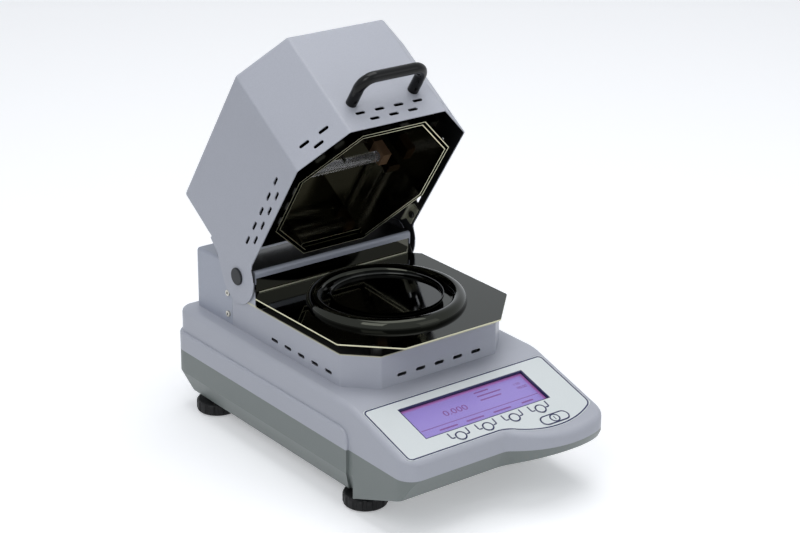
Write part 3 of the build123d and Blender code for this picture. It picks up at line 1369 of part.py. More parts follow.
def transformer():
    """Ring-core transformer held down by a washer and bolt."""
    x, y = TRANSFORMER_PLACE
    high = TRAY_FLOOR_Z + TRANSFORMER_HEIGHT
    core = upright(x, y, TRAY_FLOOR_Z, high, TRANSFORMER_RADIUS)
    core = fillet(core.edges().filter_by(GeomType.CIRCLE), TRANSFORMER_EDGE)
    core -= upright(x, y, 0, FAR, TRANSFORMER_BORE)
    clamp = upright(x, y, high, high + TRANSFORMER_WASHER, TRANSFORMER_WASHER_RADIUS)
    clamp += upright(x, y, TRAY_FLOOR_Z, high + 2 * TRANSFORMER_WASHER, TRANSFORMER_BOLT_RADIUS)
    return group([core, clamp])


NODES = {
    "lower_housing": lower_housing,
    "upper_housing": upper_housing,
    "housing_screws": housing_screws,
    "keypad_overlay": keypad_overlay,
    "display_lens": display_lens,
    "lcd_module": lcd_module,
    "display_board": display_board,
    "keypad_board": keypad_board,
    "menu_key": menu_key,
    "foot_inserts": foot_inserts,
    "load_cell": load_cell,
    "cell_pedestal": cell_pedestal,
    "weigh_stem": weigh_stem,
    "pan_carrier": pan_carrier,
    "sample_pan": sample_pan,
    "draft_ring": draft_ring,
    "chamber_skirt": chamber_skirt,
    "rear_cover": rear_cover,
    "rear_cover_screws": rear_cover_screws,
    "rear_wall_panel": rear_wall_panel,
    "insulation_plate": insulation_plate,
    "chamber_plate": chamber_plate,
    "hood_shell": hood_shell,
    "heat_shield": heat_shield,
    "reflector": reflector,
    "liner_standoffs": liner_standoffs,
    "shield_brackets": shield_brackets,
    "side_stays": side_stays,
    "lamps": lamps,
    "lamp_holders": lamp_holders,
    "temperature_probe": temperature_probe,
    "handle": handle,
    "handle_screws": handle_screws,
    "hinge_bushes": hinge_bushes,
    "hinge_pins": hinge_pins,
    "hinge_caps": hinge_caps,
    "power_inlet": power_inlet,
    "switch_frame": switch_frame,
    "power_rocker": power_rocker,
    "data_connector": data_connector,
    "main_board": main_board,
    "power_board": power_board,
    "transformer": transformer,
}


if __name__ == "__main__":
    os.makedirs("parts", exist_ok=True)
    solids = {name: build() for name, build in NODES.items()}
    solids["lower_spacers"] = spacers(DECK_Z, INSULATION_Z)
    solids["plate_spacers"] = spacers(INSULATION_Z + INSULATION_THICK, PLATE_TOP_Z - PLATE_THICK)
    for index in range(SOFT_KEY_COUNT):
        solids[f"soft_key_{index + 1}"] = soft_key(index)
    for corner, (x, y) in FEET.items():
        solids[f"foot_{corner}"] = foot_knob(x, y)
        solids[f"foot_stud_{corner}"] = foot_stud(x, y)
    for name, solid in solids.items():
        export_step(solid, f"parts/{name}.step")
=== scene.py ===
"""Finishes, prints and small parts of a moisture analyzer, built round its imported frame."""

import logging
import math
from dataclasses import dataclass, field
from enum import Enum

import bmesh
import bpy
from mathutils import Matrix, Vector


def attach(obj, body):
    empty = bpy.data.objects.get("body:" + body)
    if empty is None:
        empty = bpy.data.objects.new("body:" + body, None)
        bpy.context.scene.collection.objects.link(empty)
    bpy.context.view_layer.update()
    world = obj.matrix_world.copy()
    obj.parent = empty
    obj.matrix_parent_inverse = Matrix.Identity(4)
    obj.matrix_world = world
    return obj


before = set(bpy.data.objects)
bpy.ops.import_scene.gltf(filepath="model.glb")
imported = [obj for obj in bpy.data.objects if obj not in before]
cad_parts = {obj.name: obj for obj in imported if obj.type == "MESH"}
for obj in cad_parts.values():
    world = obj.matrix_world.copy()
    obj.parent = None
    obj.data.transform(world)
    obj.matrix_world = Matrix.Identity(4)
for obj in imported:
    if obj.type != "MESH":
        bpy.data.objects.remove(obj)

log = logging.getLogger("analyzer")
Colour = tuple[float, float, float]
Point = tuple[float, float]
Socket = bpy.types.NodeSocket

MM = 0.001
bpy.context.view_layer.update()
X_AXIS, Y_AXIS, Z_AXIS = (1.0, 0.0, 0.0), (0.0, 1.0, 0.0), (0.0, 0.0, 1.0)
FACING = 0.7
BUMP_DEPTH = 0.2 * MM
BARE_ROUGHNESS = 0.35
CROSS_TURN = math.radians(35.0)
HINGE = Vector((0.0, 99.8, 150.7)) * MM
OPEN_ANGLE = math.radians(56.4)
PANEL_ANGLE = math.radians(16.3)
PANEL_TOP = Vector((0.0, -82.0, 99.0)) * MM
UP_PANEL = Vector((0.0, math.cos(PANEL_ANGLE), math.sin(PANEL_ANGLE)))


def paint_tone(red: int, green: int, blue: int) -> Colour:
    """Turns a tone as a screen shows it, 0 to 255, into the shader's own scale.

    Args:
        red: Red as shown.
        green: Green as shown.
        blue: Blue as shown.

    Returns:
        The colour for a shader.
    """
    parts = (red, green, blue)
    return tuple(((part / 255 + 0.055) / 1.055) ** 2.4 if part > 10 else part / 3294 for part in parts)


def panel_matrix() -> Matrix:
    """Frame of the sloping panel in millimetres: x across, y up the slope, z out of the surface.

    Returns:
        The matrix from panel coordinates to the row frame.
    """
    place = Matrix.Translation(PANEL_TOP) @ Matrix.Rotation(PANEL_ANGLE, 4, "X")
    return place @ Matrix.Scale(MM, 4)


def hood_matrix() -> Matrix:
    """Takes a point of the closed hood, in millimetres, to where it stands open.

    Returns:
        The matrix from the closed hood's coordinates to the row frame.
    """
    turn = Matrix.Rotation(-OPEN_ANGLE, 4, "X")
    return Matrix.Translation(HINGE) @ turn @ Matrix.Translation(-HINGE) @ Matrix.Scale(MM, 4)


# Shader graphs


class Graph:
    """Adds nodes to one node tree and links them."""

    def __init__(self, tree: bpy.types.NodeTree) -> None:
        """Keeps the tree."""
        self.tree = tree

    def feed(self, node: bpy.types.Node, name: str | int, value: object) -> None:
        """Sets or links one input of a node, by name or index."""
        if isinstance(value, Socket):
            self.tree.links.new(value, node.inputs[name])
        else:
            node.inputs[name].default_value = value

    def add(self, kind: str, settings: dict | None = None, inputs: dict | None = None) -> bpy.types.Node:
        """Adds a node.

        Args:
            kind: The node's type name.
            settings: Attributes to set on the node.
            inputs: Values or sockets for its inputs.

        Returns:
            The new node.
        """
        node = self.tree.nodes.new(kind)
        for name, value in (settings or {}).items():
            setattr(node, name, value)
        for name, value in (inputs or {}).items():
            self.feed(node, name, value)
        return node

    def math(self, operation: str, first: object, second: object = 0.0) -> Socket:
        """Adds a maths node.

        Args:
            operation: Blender's name of the operation.
            first: Its first value or socket.
            second: Its second value or socket.

        Returns:
            The result.
        """
        return self.add("ShaderNodeMath", {"operation": operation}, {0: first, 1: second}).outputs[0]

    def dot(self, first: object, second: object) -> Socket:
        """Adds a dot product of two vectors.

        Returns:
            The result.
        """
        node = self.add("ShaderNodeVectorMath", {"operation": "DOT_PRODUCT"}, {0: first, 1: second})
        return node.outputs["Value"]

    def away(self, place: Socket, centre: Vector) -> Socket:
        """Adds the vector from a centre to a place.

        Returns:
            The vector.
        """
        return self.add("ShaderNodeVectorMath", {"operation": "SUBTRACT"}, {0: place, 1: centre}).outputs[0]

    def blend(self, factor: Socket, low: object, high: object) -> Socket:
        """Mixes two colours by a mask.

        Args:
            factor: The mask.
            low: Colour where the mask is 0.
            high: Colour where the mask is 1.

        Returns:
            The mixed colour.
        """
        node = self.add("ShaderNodeMix", {"data_type": "RGBA"}, {0: factor})
        for index, value in ((6, low), (7, high)):
            self.feed(node, index, value if isinstance(value, Socket) else (*value, 1.0))
        return node.outputs[2]

    def span(self, value: Socket, low: float, high: float, start: float = 0.0, end: float = 1.0) -> Socket:
        """Maps one range of values to another, clamped.

        Args:
            value: The value.
            low: Where the range starts.
            high: Where the range ends.
            start: The result at its start.
            end: The result at its end.

        Returns:
            The mapped value.
        """
        node = self.add("ShaderNodeMapRange")
        for index, item in enumerate((value, low, high, start, end)):
            self.feed(node, index, item)
        return node.outputs[0]

    def slice(self, value: Socket, low: float, high: float) -> Socket:
        """Adds a mask that is 1 where a value lies between two limits.

        Returns:
            The mask.
        """
        above = self.math("GREATER_THAN", value, low)
        return self.math("MULTIPLY", above, self.math("LESS_THAN", value, high))

    def seen(self) -> Socket:
        """Adds a mask that is 1 for camera, glossy and transmission rays.

        Returns:
            The mask.
        """
        path = self.add("ShaderNodeLightPath").outputs
        direct = self.math("MAXIMUM", path["Is Camera Ray"], path["Is Glossy Ray"])
        return self.math("MAXIMUM", direct, path["Is Transmission Ray"])

    def noise(self, place: Socket, scale: object, detail: float, twist: float = 0.0) -> Socket:
        """Adds a noise texture.

        Args:
            place: The coordinates.
            scale: The texture's scale.
            detail: How many octaves it has.
            twist: How far it is distorted.

        Returns:
            The noise, about 0.5 on average.
        """
        inputs = {"Vector": place, "Scale": scale, "Detail": detail, "Distortion": twist}
        return self.add("ShaderNodeTexNoise", None, inputs).outputs[0]


class Effect:
    """A shader group with named inputs and outputs."""

    def __init__(self, name: str, inputs: dict[str, object], outputs: dict[str, str]) -> None:
        """Starts the group.

        Args:
            name: The group's name.
            inputs: Each input's name with its default, a number or a colour.
            outputs: Each output's name with its socket type.
        """
        self.tree = bpy.data.node_groups.new(name, "ShaderNodeTree")
        for label, value in inputs.items():
            kind = "NodeSocketFloat" if isinstance(value, float) else "NodeSocketColor"
            socket = self.tree.interface.new_socket(label, in_out="INPUT", socket_type=kind)
            socket.default_value = value
        for label, kind in outputs.items():
            self.tree.interface.new_socket(label, in_out="OUTPUT", socket_type=kind)
        self.graph = Graph(self.tree)
        self.given = self.graph.add("NodeGroupInput").outputs
        self.place = self.graph.add("ShaderNodeTexCoord").outputs["Object"]

    def close(self, **results: Socket) -> bpy.types.NodeTree:
        """Links the group's outputs.

        Args:
            results: Each output's socket, by name.

        Returns:
            The finished group.
        """
        self.graph.add("NodeGroupOutput", None, dict(results))
        return self.tree


def moulded_grain() -> bpy.types.NodeTree:
    """Fine grain of a moulded or powder-coated surface, with slow changes of sheen.

    Returns:
        The group, which gives a roughness and a height.
    """
    inputs = {"Grain": 1200.0, "Roughness": 0.5, "Spread": 0.08}
    effect = Effect("moulded_grain", inputs, {"Roughness": "NodeSocketFloat", "Height": "NodeSocketFloat"})
    graph, given = effect.graph, effect.given
    fine = graph.noise(effect.place, given["Grain"], 3.0)
    broad = graph.noise(effect.place, 38.0, 4.0)
    sway = graph.math("MULTIPLY", graph.math("SUBTRACT", broad, 0.5), given["Spread"])
    return effect.close(Roughness=graph.math("ADD", given["Roughness"], sway), Height=fine)


def tone_drift() -> bpy.types.NodeTree:
    """Slight drift of tone over a surface, with fine specks in it.

    Returns:
        The group, which gives a colour.
    """
    inputs = {"Colour": (0.5, 0.5, 0.5, 1.0), "Amount": 0.06, "Specks": 0.05}
    effect = Effect("tone_drift", inputs, {"Colour": "NodeSocketColor"})
    graph, given = effect.graph, effect.given
    cloud = graph.math("SUBTRACT", graph.noise(effect.place, 9.0, 5.0), 0.5)
    speck = graph.math("SUBTRACT", graph.noise(effect.place, 900.0, 1.0), 0.5)
    swing = graph.math("MULTIPLY", cloud, given["Amount"])
    swing = graph.math("ADD", swing, graph.math("MULTIPLY", speck, given["Specks"]))
    scaled = graph.add("ShaderNodeVectorMath", {"operation": "SCALE"}, {0: given["Colour"]})
    graph.feed(scaled, "Scale", graph.math("ADD", swing, 1.0))
    return effect.close(Colour=scaled.outputs[0])


def wiped_metal() -> bpy.types.NodeTree:
    """Faint smears and wipe marks on bright metal.

    Returns:
        The group, which gives a roughness and a height.
    """
    inputs = {"Roughness": 0.06, "Smears": 0.1, "Wipes": 160.0}
    effect = Effect("wiped_metal", inputs, {"Roughness": "NodeSocketFloat", "Height": "NodeSocketFloat"})
    graph, given = effect.graph, effect.given
    patch = graph.span(graph.noise(effect.place, 26.0, 5.0, 1.2), 0.48, 0.78)
    stretch = graph.add("ShaderNodeMapping", None, {"Vector": effect.place, "Scale": (0.12, 1.0, 1.0)})
    wipe = graph.noise(stretch.outputs[0], given["Wipes"], 2.0)
    spread = graph.math("MULTIPLY", patch, given["Smears"])
    return effect.close(Roughness=graph.math("ADD", given["Roughness"], spread), Height=wipe)


class Effects:
    """Shader groups that several finishes share."""

    def __init__(self) -> None:
        """Builds every group once."""
        self.grain = moulded_grain()
        self.drift = tone_drift()
        self.wiped = wiped_metal()


@dataclass(frozen=True)
class Finish:
    """A moulded or painted surface with grain, sheen and a slight drift of tone."""

    name: str
    colour: Colour
    roughness: float = 0.5
    grain: float = 1200.0
    relief: float = 0.15
    drift: float = 0.06
    specks: float = 0.05
    metallic: float = 0.0
    coat: float = 0.0
    specular: float = 0.5
    alpha: float = 1.0
    transmission: float = 0.0

    def build(self, effects: Effects) -> bpy.types.Material:
        """Makes the finished material.

        Args:
            effects: The shared shader groups.

        Returns:
            The material.
        """
        material = bpy.data.materials.new(self.name)
        material.use_nodes = True
        material.diffuse_color = (*self.colour, 1.0)
        graph = Graph(material.node_tree)
        shader = material.node_tree.nodes["Principled BSDF"]
        graph.feed(shader, "Metallic", self.metallic)
        graph.feed(shader, "Coat Weight", self.coat)
        graph.feed(shader, "Coat Roughness", 0.1)
        graph.feed(shader, "Specular IOR Level", self.specular)
        graph.feed(shader, "Alpha", self.alpha)
        graph.feed(shader, "Transmission Weight", self.transmission)
        self.surface(graph, shader, effects)
        return material

    def surface(self, graph: Graph, shader: bpy.types.Node, effects: Effects) -> None:
        """Feeds the shader its colour, roughness and relief."""
        graph.feed(shader, "Base Color", self.tint(graph, self.hue(graph, effects)))
        self.texture(graph, shader, effects)

    def tint(self, graph: Graph, colour: Socket) -> Socket:
        """Gives the colour with the finish's own differently coloured areas."""
        return colour

    def hue(self, graph: Graph, effects: Effects) -> Socket:
        """Adds the drift of tone.

        Returns:
            The colour.
        """
        inputs = {"Colour": (*self.colour, 1.0), "Amount": self.drift, "Specks": self.specks}
        return graph.add("ShaderNodeGroup", {"node_tree": effects.drift}, inputs).outputs["Colour"]

    def texture(self, graph: Graph, shader: bpy.types.Node, effects: Effects) -> None:
        """Feeds the shader the grain's roughness and relief."""
        inputs = {"Grain": self.grain, "Roughness": self.roughness}
        grain = graph.add("ShaderNodeGroup", {"node_tree": effects.grain}, inputs)
        graph.feed(shader, "Roughness", grain.outputs["Roughness"])
        self.relieve(graph, shader, grain.outputs["Height"])

    def relieve(self, graph: Graph, shader: bpy.types.Node, height: Socket) -> None:
        """Feeds a height to the shader through a bump node."""
        inputs = {"Strength": self.relief, "Distance": BUMP_DEPTH, "Height": height}
        bump = graph.add("ShaderNodeBump", None, inputs)
        graph.feed(shader, "Normal", bump.outputs["Normal"])


class Rim(Enum):
    """Where a mirror sheet gets a painted highlight along its cut edge."""

    NONE = "none"
    UPRIGHT = "faces that stand upright"
    HOOD_MOUTH = "faces at the hood's mouth"


@dataclass(frozen=True)
class Mirror(Finish):
    """Polished sheet steel with faint smears, and a pale painted highlight along its cut edges."""

    roughness: float = 0.05
    relief: float = 0.02
    metallic: float = 1.0
    smears: float = 0.10
    rim: Rim = Rim.NONE
    rim_highlight_colour: Colour = paint_tone(205, 203, 175)

    def rim_highlight_mask(self, graph: Graph) -> Socket:
        """Adds the mask of the cut edges that get the painted highlight.

        Returns:
            The mask.
        """
        places = graph.add("ShaderNodeTexCoord").outputs
        if self.rim is Rim.UPRIGHT:
            lean = graph.math("ABSOLUTE", graph.dot(places["Normal"], Z_AXIS))
            return graph.math("LESS_THAN", lean, 0.5)
        down = Vector((0.0, -math.sin(OPEN_ANGLE), -math.cos(OPEN_ANGLE)))
        faces_down = graph.math("GREATER_THAN", graph.dot(places["Normal"], down), FACING)
        depth = graph.dot(graph.away(places["Object"], HINGE), down)
        return graph.math("MULTIPLY", faces_down, graph.math("GREATER_THAN", depth, 0.6 * MM))

    def surface(self, graph: Graph, shader: bpy.types.Node, effects: Effects) -> None:
        """Feeds the shader its colour, roughness and relief."""
        inputs = {"Roughness": self.roughness, "Smears": self.smears}
        wiped = graph.add("ShaderNodeGroup", {"node_tree": effects.wiped}, inputs)
        colour = self.hue(graph, effects)
        roughness = wiped.outputs["Roughness"]
        if self.rim is not Rim.NONE:
            mask = self.rim_highlight_mask(graph)
            # Painted highlight: the cut edges take a pale colour that stands in for light caught along them.
            colour = graph.blend(mask, colour, self.rim_highlight_colour)
            roughness = graph.math("ADD", roughness, graph.math("MULTIPLY", mask, BARE_ROUGHNESS))
        graph.feed(shader, "Base Color", colour)
        graph.feed(shader, "Roughness", roughness)
        self.relieve(graph, shader, wiped.outputs["Height"])


@dataclass(frozen=True)
class SheetPaint(Finish):
    """Powder coat on the outside of folded sheet and black on its inside, with a pale painted highlight along
    its top edge where one is set; on the chamber skirt the black inside is painted shade.
    """

    inside: Colour = (0.008, 0.008, 0.009)
    centre: Vector = field(default_factory=lambda: Vector((0.0, 82.3, 258.9)) * MM)
    # Heights and colour of the painted highlight along the top edge; a side height of 0 leaves it out.
    highlight_side: float = 0.0
    highlight_front: float = 0.0
    front_y: float = -73.9 * MM
    highlight_colour: Colour = paint_tone(205, 203, 180)

    def tint(self, graph: Graph, colour: Socket) -> Socket:
        """Gives the colour with the black inside and the painted highlight along the top edge."""
        places = graph.add("ShaderNodeTexCoord").outputs
        lean = graph.dot(graph.away(places["Object"], self.centre), places["Normal"])
        outside = graph.math("GREATER_THAN", lean, 0.0)
        # Black on the inside faces; on the chamber skirt this is painted shade in the gap round the plate.
        colour = graph.blend(outside, self.inside, colour)
        if self.highlight_side:
            # Painted highlight: a pale band along the top edge stands in for light caught on the sheet's rim.
            colour = graph.blend(self.highlight_mask(graph, places["Object"]), colour, self.highlight_colour)
        return colour

    def highlight_mask(self, graph: Graph, place: Socket) -> Socket:
        """Adds the mask of the painted highlight along the sheet's top.

        Args:
            graph: The material's graph.
            place: The object's coordinates.

        Returns:
            The mask.
        """
        height = graph.dot(place, Z_AXIS)
        sides = graph.slice(height, self.highlight_side, self.highlight_side + 2.0 * MM)
        ahead = graph.math("LESS_THAN", graph.dot(place, Y_AXIS), self.front_y)
        front = graph.math("MULTIPLY", ahead, graph.math("GREATER_THAN", height, self.highlight_front))
        return graph.math("MAXIMUM", sides, front)


@dataclass(frozen=True)
class CoverPaint(Finish):
    """Powder coat of the rear cover, with painted shade in black on the top of its tongue under the hood."""

    black: Colour = (0.006, 0.006, 0.006)
    painted_shade_from: float = 81.0 * MM
    painted_shade_to: float = 126.0 * MM
    painted_shade_half: float = 85.6 * MM

    def tint(self, graph: Graph, colour: Socket) -> Socket:
        """Gives the colour with the painted shade on the tongue's top."""
        places = graph.add("ShaderNodeTexCoord").outputs
        faces_up = graph.math("GREATER_THAN", graph.dot(places["Normal"], Z_AXIS), FACING)
        behind = graph.slice(graph.dot(places["Object"], Y_AXIS), self.painted_shade_from, self.painted_shade_to)
        across = graph.math("ABSOLUTE", graph.dot(places["Object"], X_AXIS))
        within = graph.math("MULTIPLY", behind, graph.math("LESS_THAN", across, self.painted_shade_half))
        # Painted shade: upward faces of the tongue under the hood are coloured black.
        black = graph.math("MULTIPLY", faces_up, within)
        return graph.blend(black, colour, self.black)


@dataclass(frozen=True)
class StaySteel(Finish):
    """Pale plated steel of the side stays, with their dark round screws."""

    screw_place: tuple[float, float] = (65.7, 146.65)
    screw_radius: float = 3.3 * MM
    screw_colour: Colour = paint_tone(26, 27, 26)

    def tint(self, graph: Graph, colour: Socket) -> Socket:
        """Gives the colour with the dark screws."""
        place = graph.add("ShaderNodeTexCoord").outputs["Object"]
        centre = hood_matrix() @ Vector((0.0, *self.screw_place))
        flat = graph.add("ShaderNodeVectorMath", {"operation": "MULTIPLY"}, {0: place, 1: (0.0, 1.0, 1.0)})
        away = graph.away(flat.outputs[0], centre)
        reach = graph.add("ShaderNodeVectorMath", {"operation": "LENGTH"}, {0: away}).outputs["Value"]
        screw = graph.math("LESS_THAN", reach, self.screw_radius)
        return graph.blend(screw, colour, self.screw_colour)


@dataclass(frozen=True)
class ScreenField(Finish):
    """Lit field of the display, redder in a strip along its top."""

    strip: Colour = paint_tone(186, 108, 190)
    strip_down: float = 24.9
    right_edge: float = 65.4
    glow: float = 0.2

    def surface(self, graph: Graph, shader: bpy.types.Node, effects: Effects) -> None:
        """Feeds the shader its colour, glow and roughness."""
        places = graph.add("ShaderNodeTexCoord").outputs
        up = graph.dot(graph.away(places["Object"], PANEL_TOP), UP_PANEL)
        across = graph.dot(places["Object"], X_AXIS)
        top = graph.span(up, -(self.strip_down + 1.0) * MM, -(self.strip_down - 0.6) * MM)
        side = graph.span(across, (self.right_edge - 0.8) * MM, (self.right_edge + 0.5) * MM)
        colour = graph.blend(graph.math("MAXIMUM", top, side), self.hue(graph, effects), self.strip)
        graph.feed(shader, "Base Color", colour)
        graph.feed(shader, "Emission Color", colour)
        graph.feed(shader, "Emission Strength", self.glow)
        self.texture(graph, shader, effects)


LAVENDER = paint_tone(178, 181, 191)
UPPER_PLASTIC = Finish("upper_plastic_grain", LAVENDER, 0.42, 2600.0, 0.20)
LOWER_PLASTIC = Finish("lower_plastic_grain", paint_tone(122, 129, 127), 0.46, 2600.0, 0.22)
HOOD_PAINT = SheetPaint("hood_powder_coat", LAVENDER, 0.45, 1700.0, 0.45, specks=0.12)
# The skirt's black inside is painted shade in the gap round the chamber plate, and its pale top edge is a
# painted highlight.
SKIRT_PAINT = SheetPaint(
    "skirt_powder_coat",
    LAVENDER,
    0.42,
    1700.0,
    0.45,
    centre=Vector((0.0, 0.0, 60.0)) * MM,
    highlight_side=127.9 * MM,
    highlight_front=128.4 * MM,
)
COVER_PAINT = CoverPaint("cover_powder_coat", paint_tone(168, 173, 186), 0.36, 1700.0, 0.4, specks=0.12)
LABEL_FILM = Finish("label_film", paint_tone(222, 228, 229), 0.38, 3200.0, 0.08, drift=0.03)
KEY_FILM = Finish("key_film", paint_tone(223, 229, 230), 0.36, 3200.0, 0.08, drift=0.03)
NAVY_INK = Finish("navy_ink", paint_tone(18, 24, 78), 0.45, 900.0, 0.05)
SCREEN_INK = Finish("screen_ink", paint_tone(132, 66, 150), 0.5, 900.0, 0.02)
SCREEN = ScreenField("screen_field", paint_tone(146, 128, 202), 0.3, 2400.0, 0.02, drift=0.05, specks=0.02)
WINDOW = Finish("display_window", paint_tone(214, 205, 235), 0.06, 900.0, 0.01, alpha=0.1)
# Painted reflection: the mirrors' low base tones stand in for dark surroundings seen in the polished steel.
PLATE_MIRROR = Mirror("plate_mirror", paint_tone(47, 49, 43), rim=Rim.UPRIGHT)
WALL_MIRROR = Mirror("wall_mirror", paint_tone(79, 79, 72))
RING_MIRROR = Mirror("ring_mirror", paint_tone(50, 51, 46), smears=0.05)
PAN_METAL = Mirror("pan_metal", paint_tone(54, 55, 53), roughness=0.05, smears=0.10)
REFLECTOR_MIRROR = Mirror("reflector_mirror", paint_tone(88, 86, 74), roughness=0.09, rim=Rim.HOOD_MOUTH)
SHIELD_STEEL = Mirror("shield_steel", paint_tone(38, 38, 33), roughness=0.12, rim=Rim.HOOD_MOUTH)
SCREW_STEEL = Mirror("screw_steel", paint_tone(196, 194, 184), roughness=0.18)
BRACKET_STEEL = Mirror("bracket_steel", paint_tone(190, 189, 172), roughness=0.3)
STAY_STEEL = StaySteel("stay_steel", paint_tone(196, 195, 174), 0.45, 900.0, 0.1, metallic=0.3)
# Painted highlight: pale colour for the strip along the chamber plate's back edge.
EDGE_HIGHLIGHT = Finish("edge_highlight", paint_tone(206, 205, 182), 0.35, 900.0, 0.1, metallic=0.3)
# Painted shade: the spacers are darkened so the gap round the chamber plate stays black.
SPACER_SHADE = Finish("spacer_shade", paint_tone(40, 40, 38), 0.5, 900.0, 0.1)
STEM_STEEL = Mirror("stem_steel", paint_tone(170, 170, 166), roughness=0.16)
CELL_METAL = Mirror("cell_metal", paint_tone(196, 198, 200), roughness=0.3)
BRASS = Mirror("insert_brass", paint_tone(200, 170, 100), roughness=0.25)
# Dark insulation sheet under the chamber plate; its dark tone is also painted shade in the gap round the plate.
INSULATION_AND_SHADE = Finish("insulation_sheet", paint_tone(60, 60, 58), 0.85, 500.0, 0.6, drift=0.2)
QUARTZ = Finish("lamp_quartz", paint_tone(236, 236, 240), 0.04, 400.0, 0.01, transmission=0.9)
CERAMIC = Finish("holder_ceramic", paint_tone(120, 92, 66), 0.7, 900.0, 0.4, drift=0.25)
HANDLE_BLACK = Finish("handle_gloss", paint_tone(10, 10, 11), 0.12, 300.0, 0.03, specular=0.22)
KNOB_BLACK = Finish("knob_black", paint_tone(18, 18, 19), 0.5, 1500.0, 0.3, specular=0.3)
CAP_BLACK = Finish("cap_black", paint_tone(34, 37, 40), 0.4, 1500.0, 0.2, specular=0.25)
SOCKET_BLACK = Finish("socket_black", paint_tone(26, 26, 28), 0.38, 1500.0, 0.2)
BUSH_WHITE = Finish("bush_white", paint_tone(216, 214, 206), 0.4, 900.0, 0.1)
BOARD_GREEN = Finish("board_green", paint_tone(36, 92, 58), 0.34, 700.0, 0.3, drift=0.2)
COPPER = Mirror("winding_copper", paint_tone(196, 122, 74), roughness=0.3)
PORT_STEEL = Mirror("port_steel", paint_tone(190, 190, 192), roughness=0.22)
# Painted shade: dark colour for the screws' cross recesses.
CROSS_RECESS_SHADE = Finish("painted_cross_shade", paint_tone(18, 18, 20), 0.6, 900.0, 0.1)


def show(name: str, data: bpy.types.ID) -> bpy.types.Object:
    """Puts a mesh, lamp, curve or camera in the scene as an object at the origin."""
    item = bpy.data.objects.new(name, data)
    bpy.context.scene.collection.objects.link(item)
    return item


def plain_mesh(name: str, shape: bmesh.types.BMesh, place: Matrix | None = None) -> bpy.types.Mesh:
    """Turns a finished bmesh into a mesh, moved to its place when one is given."""
    mesh = bpy.data.meshes.new(name)
    shape.to_mesh(mesh)
    shape.free()
    if place is not None:
        mesh.transform(place)
    return mesh


class Workshop:
    """Makes each finish once and turns meshes into pieces."""

    def __init__(self) -> None:
        """Starts with the shared effects and no finishes."""
        self.effects = Effects()
        self.made: dict[str, bpy.types.Material] = {}

    def material(self, finish: Finish) -> bpy.types.Material:
        """Gives the material of a finish, made on first use.

        Args:
            finish: The finish.

        Returns:
            Its material.
        """
        if finish.name not in self.made:
            self.made[finish.name] = finish.build(self.effects)
        return self.made[finish.name]

    def coat(self, finish: Finish, *nodes: str) -> None:
        """Gives CAD nodes a finish."""
        for name in nodes:
            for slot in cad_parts[name].material_slots:
                slot.material = self.material(finish)
        log.info("%s on %s", finish.name, ", ".join(nodes))

    def piece(self, name: str, mesh: bpy.types.Mesh, finish: Finish, body: str) -> bpy.types.Object:
        """Makes a mesh a piece of the object.

        Args:
            name: The piece's name.
            mesh: Its mesh, in the row frame.
            finish: Its finish.
            body: The body it rides on.

        Returns:
            The piece.
        """
        mesh.materials.clear()
        mesh.materials.append(self.material(finish))
        item = show(name, mesh)
        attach(item, body)
        log.info("%s: %d faces on %s", name, len(mesh.polygons), body)
        return item


# Meshes made by Geometry Nodes


